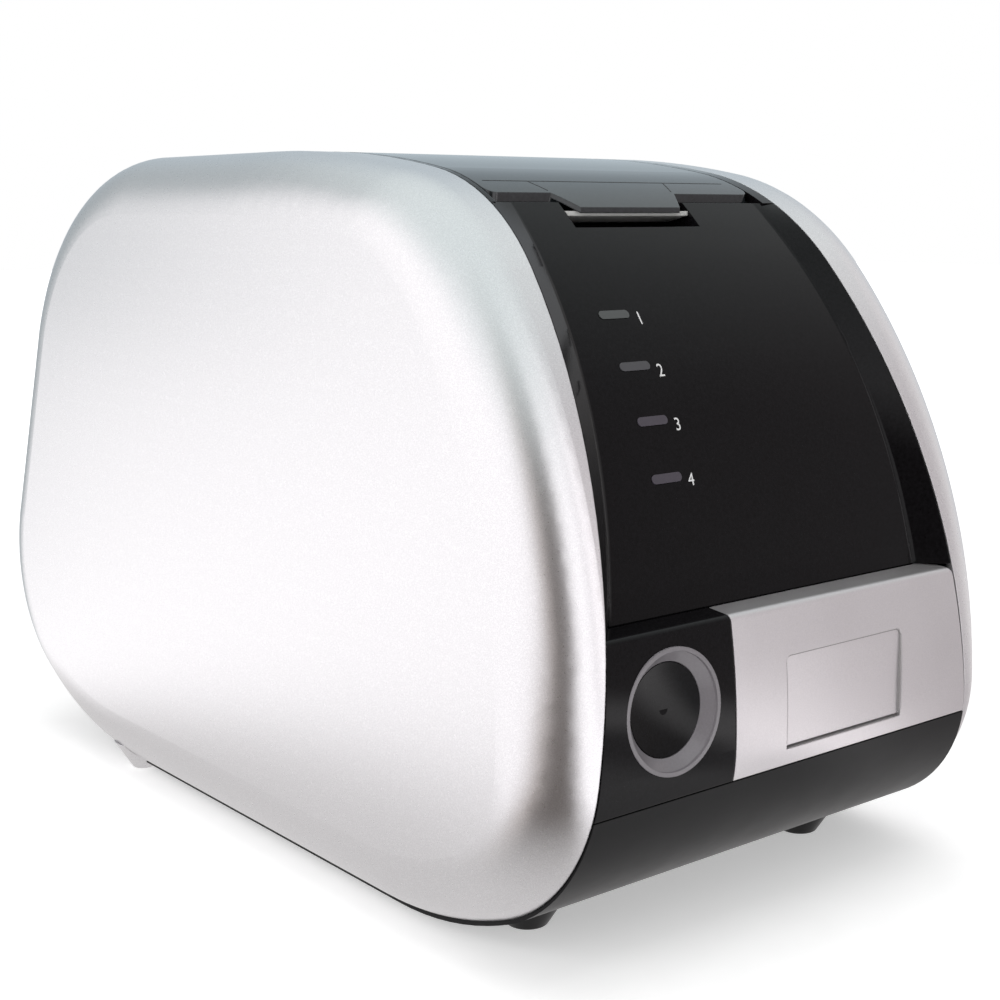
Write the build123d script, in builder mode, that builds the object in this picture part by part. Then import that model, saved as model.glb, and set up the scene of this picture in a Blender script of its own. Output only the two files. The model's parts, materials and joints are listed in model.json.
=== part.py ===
from build123d import *
import os
from math import asin, cos, degrees, radians, sin, sqrt, tan

# Desktop scanner for intraoral phosphor plates, in millimetres, +Z up, front towards -Y.
# Origin: middle of the footprint, on the table.
# Depths are measured back from the foremost point of the housing and heights up from the table.

# Housing seen from the side: one chain of tangent arcs
base_height = 3.2
chin_lower_radius = 142.5
chin_lower_turn = 23.2
chin_upper_radius = 57.4
brow_lower_radius = 233.2
brow_lower_turn = 40.0
brow_upper_radius = 93.0
brow_upper_turn = 39.8
crown_radius = 452.9
roof_length = 86.0
shoulder_radius = 99.1
back_lean = 13.9
heel_radius = 71.2
heel_turn = 76.3
tail_radius = 173.3

# Housing seen from the front: the seams and the outer faces lean inwards
seam_setback = 15.5
seam_slope = 0.1265
outer_base_half = 112.9
outer_slope = 0.053
edge_radius = 24.0
cover_wall = 2.6
band_wall = 2.6
flange_depth = 14.0

# Clearances
seam_gap = 0.4
joint_gap = 0.5
seat_gap = 0.3
running_gap = 0.05
drawer_gap = 0.8
lid_side_gap = 0.7
overrun = 30.0

# Glossy front panel, sunk between the seams and flaring out to them
ledge_height = 111.2
ledge_sink = 9.6
ledge_drop = 1.2
panel_radius = 195.0
panel_top_sink = 1.8
flare_width = 10.0
panel_wall = 2.6
crease_radius = 3.0
skirt_drop = 6.0
shelf_height = 237.5
shelf_wall = 2.0
cover_post_radius = 4.0
cover_post_low = 126.0
cover_post_high = 221.0

# Lamp bars on the panel
lamp_count = 4
lamp_left = -47.5
lamp_length = 12.9
lamp_width = 3.0
lamp_middle_height = 178.0
lamp_pitch = 18.6
lamp_proud = 0.25
lamp_setback = 9.0
lamp_board_width = 15.0
lamp_board_length = 80.0
lamp_post_radius = 2.5
lamp_post_reach = 35.0
chip_length = 5.0
chip_thick = 1.2
board_thick = 1.6

# Smoked top cover, hinged behind
lid_thickness = 3.0
lid_front_depth = 84.0
lid_left_inset = 3.2
lid_right_inset = 7.0
lid_corner_radius = 4.0
lid_seat_width = 4.0
lid_seat_thick = 2.0
lid_opening_front = 92.0
lid_opening_back = 264.0
tongue_thickness = 1.6
tongue_depth = 75.6
tongue_left = -31.0
tongue_right = 15.4
tongue_root_left = -37.0
tongue_root_right = 20.7
hinge_depth = 279.0
hinge_radius = 4.0
hinge_trough_wall = 2.0
hinge_pin_radius = 1.5
hinge_pin_length = 12.0

# Feed pocket under the tongue
pocket_left = -37.0
pocket_right = 21.0
pocket_floor = 229.3
pocket_back = 87.0
pocket_wall = 2.0
slot_height = 1.6
guide_lip = 1.6
guide_top_drop = 0.3

# Output drawer and button plate, flush with the housing
drawer_bottom = 56.8
parting_x = -30.8
plate_wall = 3.0
drawer_corner_radius = 5.0
ledge_edge_radius = 2.6
recess_left = -6.6
recess_right = 52.0
recess_bottom_margin = 5.5
recess_top_margin = 17.8
recess_shallow = 0.5
recess_deep = 1.1
recess_slit_height = 0.8
recess_slit_depth = 1.2
recess_corner_radius = 2.2
tray_left = -27.0
tray_right = 47.0
tray_back_depth = 128.0
tray_wall = 2.0
tray_floor = 60.2
tray_side_height = 20.0
tray_back_height = 7.0
runner_thick = 1.5
runner_front_depth = 18.0
runner_back_margin = 6.0
runner_guide_height = 8.0

# Power button
button_x = -57.6
button_rise = 0.8
ring_margin = 7.2
ring_rim_width = 1.4
ring_step = 1.0
ring_seat_depth = 5.5
ring_boss_wall = 2.4
ring_sleeve_wall = 1.6
ring_sleeve_depth = 11.0
button_margin = 5.3
button_clearance = 0.3
button_recess = 4.0
button_dish = 1.0
button_thick = 3.0
button_skirt_wall = 1.6
button_flange_thick = 1.2
button_travel = 1.5
button_stem_radius = 2.2
button_board_depth = 19.0
button_board_size = 35.0
button_post_reach = 13.5
button_post_radius = 2.5
switch_size = 6.0
switch_thick = 3.4
switch_plunger_radius = 1.7
switch_plunger_thick = 0.6

# Inner frame
chassis_height = 12.0
chassis_thick = 2.0
chassis_margin = 28.9
chassis_front_depth = 62.0
chassis_back_depth = 314.0
base_step_depth = 58.0
base_split_height = 29.6
base_boss_radius = 5.0
base_boss_margin = 42.9
base_boss_front = 74.0
base_boss_middle = 186.0
base_boss_back = 300.0
frame_half = 54.0
frame_thick = 2.0
frame_foot_width = 10.0
frame_front_depth = 50.0
frame_back_depth = 312.0
frame_inset = 7.0
frame_step_depth = 94.0
frame_step_height = 203.0
frame_window_radius = 24.0
side_boss_radius = 5.0
side_boss_front = 76.0
side_boss_back = 300.0
side_boss_low = 42.0
side_boss_high = 196.0
rear_post_radius = 4.0
rear_post_low = 92.0
rear_post_high = 176.0

# Screws
screw_radius = 1.5
screw_head_radius = 2.8
screw_head_thick = 1.8
screw_length = 9.0

# Plate transport
sleeve_left = -37.0
sleeve_right = 21.0
shaft_radius = 3.0
drive_radius = 7.0
pinch_radius = 6.0
plate_gap = 0.4
bush_radius = 5.0
bush_length = 4.0
feed_nip_depth = 112.0
bend_radius = 58.0
guide_gap = 1.0
guide_thick = 1.2
guide_rib = 5.0
guide_start_angle = 76.0
scan_nip_height = 158.0
exit_nip_height = 116.0
pulley_radius = 7.0
pulley_flange = 1.2
pulley_flange_radius = 8.4
pulley_width = 9.4
pulley_left = -68.0
belt_thick = 1.3
belt_gap = 0.3
motor_size = 35.0
motor_length = 32.0
motor_corner = 4.0
motor_depth = 113.0
motor_height = 168.0
motor_boss_radius = 11.0
motor_shaft_radius = 2.5
chute_radius = 25.0
chute_turn = 65.0
chute_top = 107.0

# Scanning optics
scan_height = 138.0
platen_half_height = 11.0
platen_thick = 1.6
bench_drop = 16.0
bench_thick = 3.0
bench_front_depth = 206.0
bench_back_depth = 300.0
mirror_radius = 15.0
mirror_thick = 6.0
mirror_sides = 6
mirror_depth = 272.0
mirror_motor_radius = 13.0
mirror_motor_height = 9.0
mirror_shaft_radius = 2.0
mirror_hub_radius = 5.0
lens_half = 24.0
lens_depth = 224.0
lens_thick = 8.0
lens_bulge = 4.0
lens_foot = 4.0
laser_radius = 5.5
laser_length = 30.0
laser_reach = 15.0
laser_strike_angle = 45.0
laser_block_wall = 3.0
collector_depth = 180.5
collector_height = 146.5
collector_half_width = 35.0
collector_mouth = 6.0
collector_length = 46.0
collector_angle = 42.0
collector_exit_radius = 12.0
tube_radius = 14.0
tube_length = 56.0
tube_bracket_thick = 4.0
tube_bracket_place = 16.0
tube_bracket_half_height = 19.0
erase_lamp_count = 8
erase_lamp_radius = 1.8
erase_lamp_length = 2.5
erase_board_depth = 181.0
erase_board_low = 124.0
erase_board_high = 134.5

# Electronics
main_board_standoff = 8.0
main_board_front = 120.0
main_board_back = 270.0
main_board_low = 60.0
main_board_high = 175.0
main_board_margin = 8.0
standoff_radius = 3.0
standoff_sides = 6
processor_size = 28.0
processor_thick = 3.0
heatsink_size = 34.0
heatsink_fin_height = 12.0
heatsink_fin_count = 8
heatsink_base = 3.0
supply_margin = 2.0
supply_width = 25.0
supply_front = 184.0
supply_length = 98.0
supply_height = 56.0
supply_wall = 1.2
supply_slot_count = 9
supply_slot_width = 3.0
supply_slot_margin = 14.0
fan_size = 60.0
fan_thick = 15.0
fan_corner = 4.0
fan_x = 36.0
fan_height = 140.0
fan_bore_radius = 28.0
fan_hub_radius = 11.0
fan_tip_gap = 1.0
fan_axial_gap = 1.5
fan_blade_count = 7
fan_blade_width = 12.0
fan_blade_thick = 1.4
fan_blade_angle = 35.0
fan_strut_width = 3.0
fan_strut_thick = 2.0
fan_hole_reach = 25.0
grille_slot = 3.2
grille_pitch = 6.4
grille_rows = 8
inlet_x = -40.0
inlet_height = 118.0
inlet_width = 27.0
inlet_tall = 20.0
inlet_flange = 2.0
inlet_lip = 2.5
inlet_depth = 22.0
inlet_cavity_width = 21.0
inlet_cavity_tall = 13.0
inlet_cavity_depth = 16.0
inlet_chamfer = 4.0
pin_width = 4.0
pin_thick = 2.0
pin_length = 9.0
pin_spacing = 7.0
pin_rise = 2.5
rocker_height = 152.0
rocker_opening_width = 19.0
rocker_opening_tall = 13.0
rocker_wall = 1.6
rocker_body_depth = 16.0
rocker_angle = 16.0
rocker_gap = 0.5
rocker_pivot_sink = 1.0
rocker_valley = 2.0
rocker_pin_radius = 1.2
port_x = -6.0
port_height = 118.0
port_width = 14.0
port_tall = 13.0
port_wall = 1.2
port_depth = 18.0
port_cavity_depth = 12.0
port_tongue_width = 6.0
port_tongue_tall = 3.0

# Feet
foot_front_radius = 7.0
foot_front_margin = 44.9
foot_front_depth = 58.0
foot_rear_radius = 4.5
foot_rear_margin = 17.9
foot_rear_depth = 283.0
foot_edge_radius = 1.2
foot_height = 12.0
foot_flare_angle = 32.0


def arc_end(start, heading, radius, turn):
    """End and heading of a tangent arc bending to the right; the heading is in degrees from level."""
    after = heading - turn
    across = radius * (sin(radians(heading)) - sin(radians(after)))
    up = radius * (cos(radians(after)) - cos(radians(heading)))
    return (start[0] + across, start[1] + up), after


# The housing outline's chain of arcs, worked out
front_height = (
    base_height
    + chin_upper_radius * cos(radians(chin_lower_turn))
    + chin_lower_radius * (1 - cos(radians(chin_lower_turn)))
)
foremost = (0, front_height)
brow_end, brow_heading = arc_end(foremost, 90, brow_lower_radius, brow_lower_turn)
crown_start, crown_heading = arc_end(brow_end, brow_heading, brow_upper_radius, brow_upper_turn)
roof_start = arc_end(crown_start, crown_heading, crown_radius, crown_heading)[0]
roof_height = roof_start[1]
shoulder_start = (roof_start[0] + roof_length, roof_height)
back_start, back_heading = arc_end(shoulder_start, 0, shoulder_radius, 90 - back_lean)
heel_drop, tail_heading = arc_end((0, 0), back_heading, heel_radius, heel_turn)
tail_drop = arc_end(heel_drop, tail_heading, tail_radius, 180 + tail_heading)[0]
back_length = (back_start[1] + tail_drop[1] - base_height) / cos(radians(back_lean))
heel_start = (
    back_start[0] + back_length * sin(radians(back_lean)),
    back_start[1] - back_length * cos(radians(back_lean)),
)
housing_depth = heel_start[0] + heel_radius * (1 - cos(radians(back_lean)))
front_y = -housing_depth / 2
brow_lower_centre = (brow_lower_radius, front_height)
brow_upper_centre = (
    brow_end[0] + brow_upper_radius * sin(radians(brow_heading)),
    brow_end[1] - brow_upper_radius * cos(radians(brow_heading)),
)
seam_base_half = outer_base_half - seam_setback
chassis_half = outer_base_half - chassis_margin
base_boss_x = outer_base_half - base_boss_margin
foot_front_x = outer_base_half - foot_front_margin
foot_rear_x = outer_base_half - foot_rear_margin
supply_left = supply_margin - chassis_half
button_height = (drawer_bottom + ledge_height) / 2 + button_rise
ring_radius = (ledge_height - drawer_bottom) / 2 - ring_margin
button_radius = ring_radius - button_margin
recess_bottom = drawer_bottom + recess_bottom_margin
recess_top = ledge_height - recess_top_margin


def front_at(height):
    """Depth of the housing outline at a height on its lower brow or upper chin."""
    if height < front_height:
        return chin_upper_radius - sqrt(chin_upper_radius**2 - (front_height - height) ** 2)
    return brow_lower_radius - sqrt(brow_lower_radius**2 - (height - front_height) ** 2)


def brow_at(depth, inset):
    """Height of the upper brow at a depth, pulled in by inset."""
    radius = brow_upper_radius - inset
    return brow_upper_centre[1] + sqrt(radius**2 - (brow_upper_centre[0] - depth) ** 2)


def brow_depth(height):
    """Depth of the upper brow at a height."""
    return brow_upper_centre[0] - sqrt(brow_upper_radius**2 - (height - brow_upper_centre[1]) ** 2)


# The panel's arc, through a point behind the ledge and one behind the brow at the shelf
ledge_depth = front_at(ledge_height) + ledge_sink
panel_top_depth = brow_depth(shelf_height) + panel_top_sink
panel_run = (panel_top_depth - ledge_depth) / 2
panel_rise = (shelf_height - ledge_height) / 2
panel_chord_half = sqrt(panel_run**2 + panel_rise**2)
panel_reach = sqrt(panel_radius**2 - panel_chord_half**2) / panel_chord_half
panel_centre = (
    ledge_depth + panel_run + panel_rise * panel_reach,
    ledge_height + panel_rise - panel_run * panel_reach,
)


def panel_at(height):
    """Depth of the glossy panel's face at a height."""
    return panel_centre[0] - sqrt(panel_radius**2 - (height - panel_centre[1]) ** 2)


def back_at(height):
    """Depth of the flat back at a height."""
    return back_start[0] + (back_start[1] - height) * tan(radians(back_lean))


def seam_half(height):
    """Half the width between the seams at a height."""
    return seam_base_half - seam_slope * height


side = Plane(origin=(0, front_y, 0), x_dir=(0, 1, 0), z_dir=(1, 0, 0))


def seam_plane(hand, inset):
    """A plane parallel to a seam; hand is 1 for the right seam and -1 for the left."""
    origin = (hand * (seam_base_half - inset), 0, 0)
    return Plane(origin=origin, x_dir=(0, 1, 0), z_dir=(hand, 0, seam_slope))


def outer_plane(inset):
    """The right outer face of the housing, pulled in by inset."""
    return Plane(origin=(outer_base_half - inset, 0, 0), x_dir=(0, 1, 0), z_dir=(1, 0, outer_slope))


def back_plane(across, height, sink):
    """A plane on the flat back, sunk below its face, with its x towards the left and its y up."""
    lean = radians(back_lean)
    origin = (across, front_y + back_at(height) - sink * cos(lean), height - sink * sin(lean))
    return Plane(origin=origin, x_dir=(-1, 0, 0), z_dir=(0, cos(lean), sin(lean)))


def housing_outline(inset):
    """Side view of the housing, pulled in by inset."""
    with BuildSketch() as outline:
        with BuildLine():
            chin = JernArc(foremost, (0, -1), chin_upper_radius, 90 - chin_lower_turn)
            jaw = JernArc(chin @ 1, chin % 1, chin_lower_radius, chin_lower_turn)
            brow = JernArc(foremost, (0, 1), brow_lower_radius, -brow_lower_turn)
            forehead = JernArc(brow @ 1, brow % 1, brow_upper_radius, -brow_upper_turn)
            crown = JernArc(forehead @ 1, forehead % 1, crown_radius, -crown_heading)
            roof = Line(crown @ 1, shoulder_start)
            shoulder = JernArc(roof @ 1, (1, 0), shoulder_radius, back_lean - 90)
            back = Line(shoulder @ 1, heel_start)
            heel = JernArc(back @ 1, shoulder % 1, heel_radius, -heel_turn)
            tail = JernArc(heel @ 1, heel % 1, tail_radius, -(180 + tail_heading))
            Line(tail @ 1, jaw @ 1)
        make_face()
        if inset:
            offset(amount=-inset, kind=Kind.INTERSECTION)
    return outline.sketch


def side_box(front, back, low, high):
    """Rectangle in the side view."""
    with BuildSketch() as box:
        with Locations(((front + back) / 2, (low + high) / 2)):
            Rectangle(back - front, high - low)
    return box.sketch


def arc_view(centre, radius, low, high):
    """Side view of all that lies in front of an arc between two heights."""
    with BuildSketch() as view:
        with BuildLine():
            first = 180 - degrees(asin((high - centre[1]) / radius))
            last = 180 - degrees(asin((low - centre[1]) / radius))
            face_line = CenterArc(centre, radius, first, last - first)
            Polyline(face_line @ 1, (-overrun, low), (-overrun, high), face_line @ 0)
        make_face()
    return view.sketch


def side_block(outline, left, right):
    """Solid with the given side view between two x positions."""
    with BuildPart() as block:
        with BuildSketch(side.offset(left)):
            add(outline)
        extrude(amount=right - left)
    return block.part


def box_between(left, right, front, back, low, high):
    """Square block between two x positions, two depths and two heights."""
    return side_block(side_box(front, back, low, high), left, right)


def bar_across(radius, left, right, place):
    """Round bar along x at a place in the side view."""
    with BuildPart() as rod:
        with BuildSketch(side.offset(left)):
            with Locations(place):
                Circle(radius)
        extrude(amount=right - left)
    return rod.part


def post_between(radius, across, height, front, back):
    """Round post from one depth to another."""
    with BuildPart() as post:
        with BuildSketch(Plane(origin=(across, front_y + front, height), z_dir=(0, 1, 0))):
            Circle(radius)
        extrude(amount=back - front)
    return post.part


def band_block(outline, left_inset, right_inset):
    """Solid with the given side view between the seams, each pulled in by its inset."""
    with BuildPart() as block:
        with BuildSketch(side.offset(-outer_base_half)):
            add(outline)
        extrude(amount=2 * outer_base_half)
        split(bisect_by=seam_plane(-1, left_inset), keep=Keep.BOTTOM)
        split(bisect_by=seam_plane(1, right_inset), keep=Keep.BOTTOM)
    return block.part


def sunk_front(inset):
    """The space in front of the sunk panel and its flares, grown inwards by inset."""
    panel = panel_radius - inset
    low = ledge_height - overrun
    lower_brow = (brow_lower_centre, brow_lower_radius - inset, low, brow_end[1])
    upper_brow = (brow_upper_centre, brow_upper_radius - inset, brow_end[1], shelf_height)
    with BuildPart() as space:
        add(band_block(arc_view(panel_centre, panel, low, shelf_height), flare_width, flare_width))
        for hand in (-1, 1):
            for centre, radius, bottom, top in (lower_brow, upper_brow):
                inner_view = arc_view(panel_centre, panel, bottom, top)
                outer_view = arc_view(centre, radius, bottom, top)
                inner_block = side_block(inner_view, -outer_base_half, outer_base_half)
                outer_block = side_block(outer_view, -outer_base_half, outer_base_half)
                inner = section(inner_block, section_by=seam_plane(hand, flare_width), mode=Mode.PRIVATE)
                outer = section(outer_block, section_by=seam_plane(hand, inset), mode=Mode.PRIVATE)
                loft(sections=[inner.faces()[0], outer.faces()[0]], ruled=True)
    return space.part


os.makedirs("parts", exist_ok=True)

outer_outline = housing_outline(0)
wall_outline = housing_outline(cover_wall)
flange_outline = housing_outline(flange_depth)

# Side covers: pearl silver shells, rounded all round their outer edge and open towards the band
side_boss_places = [
    (depth, height)
    for depth in (side_boss_front, side_boss_back)
    for height in (side_boss_low, side_boss_high)
]

with BuildPart() as cover_form:
    add(side_block(outer_outline, 0, outer_base_half + overrun))
    split(bisect_by=outer_plane(0), keep=Keep.BOTTOM)
    fillet(faces().sort_by(Axis.X)[-1].edges(), edge_radius)

with BuildPart() as cover_hollow:
    add(side_block(wall_outline, 0, outer_base_half + overrun))
    split(bisect_by=outer_plane(cover_wall), keep=Keep.BOTTOM)
    fillet(faces().sort_by(Axis.X)[-1].edges(), edge_radius - cover_wall)

with BuildPart() as cover_bosses:
    for place in side_boss_places:
        add(bar_across(side_boss_radius, frame_half, outer_base_half, place))
    split(bisect_by=outer_plane(cover_wall / 2), keep=Keep.BOTTOM)
    for place in side_boss_places:
        add(bar_across(screw_radius, frame_half, frame_half + screw_length, place), mode=Mode.SUBTRACT)

with BuildPart() as right_side_cover:
    add(cover_form.part)
    add(cover_hollow.part, mode=Mode.SUBTRACT)
    split(bisect_by=seam_plane(1, 0), keep=Keep.TOP)
    add(cover_bosses.part)

with BuildPart() as left_side_cover:
    mirror(right_side_cover.part, about=Plane.YZ)

right_side_cover.part.label = "right_side_cover"
export_step(right_side_cover.part, "parts/right_side_cover.step")
left_side_cover.part.label = "left_side_cover"
export_step(left_side_cover.part, "parts/left_side_cover.step")

# Lid outline, seen from above, with its tongue
lid_mean_height = brow_at(lid_front_depth, 0)
lid_left = -(seam_half(lid_mean_height) - lid_left_inset)
lid_right = seam_half(lid_mean_height) - lid_right_inset
hinge_place = (hinge_depth, roof_height - hinge_radius)
hinge_left = lid_left_inset - seam_half(hinge_place[1])
hinge_right = seam_half(hinge_place[1]) - lid_right_inset
under_lid = housing_outline(lid_thickness + seat_gap)
under_seat = housing_outline(lid_thickness + seat_gap + lid_seat_thick)

with BuildPart() as lid_plate:
    add(band_block(outer_outline, lid_left_inset, lid_right_inset))
    add(side_block(housing_outline(lid_thickness), -outer_base_half, outer_base_half), mode=Mode.SUBTRACT)
    with BuildSketch(Plane(origin=(0, front_y, shelf_height))):
        with Locations(((lid_left + lid_right) / 2, (lid_front_depth + hinge_depth) / 2)):
            Rectangle(lid_right - lid_left + lid_corner_radius, hinge_depth - lid_front_depth)
    extrude(amount=overrun, mode=Mode.INTERSECT)
    lid_corners = edges().filter_by(lambda e: abs((e @ 0).X - (e @ 1).X) < lid_thickness)
    front_corners = lid_corners.sort_by(Axis.Y).filter_by(lambda e: e.length < 2 * lid_thickness)[:2]
    fillet(front_corners, lid_corner_radius)

with BuildPart() as tongue_plate:
    add(side_block(outer_outline, -outer_base_half, outer_base_half))
    add(side_block(housing_outline(tongue_thickness), -outer_base_half, outer_base_half), mode=Mode.SUBTRACT)
    with BuildSketch(Plane(origin=(0, front_y, brow_end[1]))):
        with BuildLine():
            Polyline(
                (tongue_root_left, lid_front_depth + tongue_thickness),
                (tongue_root_left, lid_front_depth),
                (tongue_left, tongue_depth),
                (tongue_right, tongue_depth),
                (tongue_root_right, lid_front_depth),
                (tongue_root_right, lid_front_depth + tongue_thickness),
                close=True,
            )
        make_face()
    extrude(amount=overrun, mode=Mode.INTERSECT)

with BuildPart() as top_cover:
    add(lid_plate.part)
    add(tongue_plate.part)
    add(bar_across(hinge_radius, hinge_left, hinge_right, hinge_place))
    for end, inwards in ((hinge_left, 1), (hinge_right, -1)):
        add(
            bar_across(
                hinge_pin_radius + running_gap,
                min(end, end + inwards * hinge_pin_length),
                max(end, end + inwards * hinge_pin_length),
                hinge_place,
            ),
            mode=Mode.SUBTRACT,
        )

top_cover.part.label = "top_cover"
export_step(top_cover.part, "parts/top_cover.step")

# Front cover: the glossy panel with its flares, the feed pocket and the rim round the lid
trough_radius = hinge_radius + seat_gap
rim_back_depth = hinge_depth + trough_radius
lamp_lean = asin((lamp_middle_height - panel_centre[1]) / panel_radius)
lamp_plane = Plane(
    origin=(0, front_y + panel_at(lamp_middle_height), lamp_middle_height),
    x_dir=(1, 0, 0),
    z_dir=(0, -cos(lamp_lean), sin(lamp_lean)),
)
lamp_middle = lamp_left + lamp_length / 2
lamp_places = [(lamp_middle, (step - (lamp_count - 1) / 2) * lamp_pitch) for step in range(lamp_count)]
lamp_post_places = [(lamp_middle, hand * lamp_post_reach) for hand in (-1, 1)]
cover_post_x = frame_half - frame_thick / 2

with BuildSketch() as front_cover_view:
    add(outer_outline)
    add(side_box(-overrun, rim_back_depth, ledge_height, roof_height + overrun), mode=Mode.INTERSECT)
    add(flange_outline, mode=Mode.SUBTRACT)

with BuildSketch() as cover_hollow_view:
    add(under_seat)
    add(side_box(-overrun, lid_opening_front, shelf_height - shelf_wall, roof_height), mode=Mode.SUBTRACT)

with BuildSketch() as lid_room_view:
    add(side_box(-overrun, rim_back_depth, shelf_height, roof_height + overrun))
    add(under_lid, mode=Mode.SUBTRACT)

with BuildSketch() as trough_view:
    with Locations(hinge_place):
        Circle(trough_radius + hinge_trough_wall)
    add(side_box(0, rim_back_depth, 0, roof_height - hinge_radius), mode=Mode.INTERSECT)

with BuildSketch() as skirt_view:
    skirt_back = ledge_depth + plate_wall + panel_wall
    add(side_box(ledge_depth, skirt_back, ledge_height - skirt_drop, ledge_height + panel_wall))
    add(arc_view(panel_centre, panel_radius - seat_gap, 0, shelf_height), mode=Mode.SUBTRACT)
    inner_skirt = arc_view(panel_centre, panel_radius - seat_gap - panel_wall, 0, shelf_height)
    add(inner_skirt, mode=Mode.INTERSECT)

panel_space = sunk_front(0)


def on_crease(edge):
    """Whether an edge runs along the crease between the panel and a flare."""
    middle = edge @ 0.5
    off_seam = abs(middle.X) - seam_half(middle.Z) + flare_width
    off_panel = middle.Y - front_y - panel_at(middle.Z)
    return abs(off_seam) < running_gap and abs(off_panel) < running_gap


with BuildPart() as sunk_space:
    add(panel_space)
    fillet(edges().filter_by(on_crease), crease_radius)

with BuildPart() as pocket_walls:
    add(
        box_between(
            pocket_left - pocket_wall,
            pocket_right + pocket_wall,
            panel_at(pocket_floor),
            pocket_back + pocket_wall,
            pocket_floor - pocket_wall,
            shelf_height,
        )
    )
    panel_view = arc_view(panel_centre, panel_radius, 0, shelf_height)
    add(side_block(panel_view, -outer_base_half, outer_base_half), mode=Mode.SUBTRACT)

with BuildPart() as cover_hollow_space:
    add(band_block(cover_hollow_view.sketch, band_wall, band_wall))
    add(sunk_front(panel_wall), mode=Mode.SUBTRACT)

with BuildPart() as cover_posts:
    for across in (-cover_post_x, cover_post_x):
        low_start = panel_at(cover_post_low) + panel_wall / 2
        high_start = panel_at(cover_post_high) + panel_wall / 2
        add(post_between(cover_post_radius, across, cover_post_low, low_start, frame_front_depth))
        add(post_between(cover_post_radius, across, cover_post_high, high_start, frame_step_depth))
    with BuildSketch(lamp_plane.offset(-lamp_setback)):
        with Locations(lamp_post_places):
            Circle(lamp_post_radius)
    extrude(amount=lamp_setback - panel_wall)

with BuildPart() as lamp_slots:
    with BuildSketch(lamp_plane.offset(-lamp_setback)):
        with Locations(lamp_places):
            SlotOverall(lamp_length + 2 * running_gap, lamp_width + 2 * running_gap)
    extrude(amount=lamp_setback + overrun)

lid_room_left = lid_left_inset - lid_side_gap
lid_room_right = lid_right_inset - lid_side_gap
pin_out = seam_half(hinge_place[1]) - 2 * seam_gap
opening_view = side_box(lid_opening_front, lid_opening_back, shelf_height, roof_height + overrun)

with BuildPart() as front_cover:
    add(band_block(front_cover_view.sketch, seam_gap, seam_gap))
    add(cover_hollow_space.part, mode=Mode.SUBTRACT)
    add(pocket_walls.part)
    add(band_block(trough_view.sketch, seam_gap, seam_gap))
    add(band_block(skirt_view.sketch, flare_width, flare_width))
    add(cover_posts.part)
    add(band_block(lid_room_view.sketch, lid_room_left, lid_room_right), mode=Mode.SUBTRACT)
    add(
        band_block(opening_view, lid_left_inset + lid_seat_width, lid_right_inset + lid_seat_width),
        mode=Mode.SUBTRACT,
    )
    add(
        bar_across(trough_radius, hinge_left - lid_side_gap, hinge_right + lid_side_gap, hinge_place),
        mode=Mode.SUBTRACT,
    )
    add(bar_across(hinge_pin_radius, -pin_out, pin_out, hinge_place), mode=Mode.SUBTRACT)
    add(sunk_space.part, mode=Mode.SUBTRACT)
    add(lamp_slots.part, mode=Mode.SUBTRACT)
    add(
        box_between(pocket_left, pocket_right, 0, pocket_back, pocket_floor, shelf_height + overrun),
        mode=Mode.SUBTRACT,
    )
    slot_top = pocket_floor + slot_height
    add(
        box_between(pocket_left, pocket_right, 0, lid_opening_front, pocket_floor, slot_top),
        mode=Mode.SUBTRACT,
    )

front_cover.part.label = "front_cover"
export_step(front_cover.part, "parts/front_cover.step")

with BuildPart() as hinge_pins:
    add(bar_across(hinge_pin_radius, -pin_out, hinge_left + hinge_pin_length, hinge_place))
    add(bar_across(hinge_pin_radius, hinge_right - hinge_pin_length, pin_out, hinge_place))

hinge_pins.part.label = "hinge_pins"
export_step(hinge_pins.part, "parts/hinge_pins.step")

# Feed guide: the pale lip that closes the pocket from above, under the tongue
guide_front = tongue_depth + tongue_thickness
guide_top = brow_at(guide_front, tongue_thickness + guide_top_drop)

with BuildPart() as feed_guide:
    with BuildSketch(side.offset(pocket_left)):
        with BuildLine():
            Polyline(
                (guide_front, guide_top),
                (pocket_back, guide_top),
                (pocket_back, pocket_floor + slot_height),
                (guide_front, guide_top - guide_lip),
                close=True,
            )
        make_face()
    extrude(amount=pocket_right - pocket_left)

feed_guide.part.label = "feed_guide"
export_step(feed_guide.part, "parts/feed_guide.step")

# Status lamps: four light pipes through the panel and the little board behind them
with BuildPart() as lamp_reach:
    lamp_face_view = arc_view(panel_centre, panel_radius + lamp_proud, 0, shelf_height)
    add(side_block(lamp_face_view, -outer_base_half, outer_base_half))

with BuildPart() as status_light_pipes:
    with BuildSketch(lamp_plane.offset(chip_thick - lamp_setback)):
        with Locations(lamp_places):
            SlotOverall(lamp_length, lamp_width)
    extrude(amount=lamp_setback + panel_wall)
    add(lamp_reach.part, mode=Mode.SUBTRACT)

status_light_pipes.part.label = "status_light_pipes"
export_step(status_light_pipes.part, "parts/status_light_pipes.step")

with BuildPart() as indicator_board:
    with BuildSketch(lamp_plane.offset(-lamp_setback)):
        with Locations((lamp_middle, 0)):
            Rectangle(lamp_board_width, lamp_board_length)
        with Locations(lamp_post_places):
            Circle(screw_radius, mode=Mode.SUBTRACT)
    extrude(amount=-board_thick)
    with BuildSketch(lamp_plane.offset(-lamp_setback)):
        with Locations(lamp_places):
            Rectangle(chip_length, lamp_width)
    extrude(amount=chip_thick)

indicator_board.part.label = "indicator_board"
export_step(indicator_board.part, "parts/indicator_board.step")

# Button plate and output drawer share their side view: the housing's face, a ledge on top, open behind
plate_back = ledge_depth - joint_gap
ledge_front_height = ledge_height - ledge_drop
ledge_back_height = ledge_height - joint_gap / 2
ledge_corner = (front_at(ledge_front_height), ledge_front_height)

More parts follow.
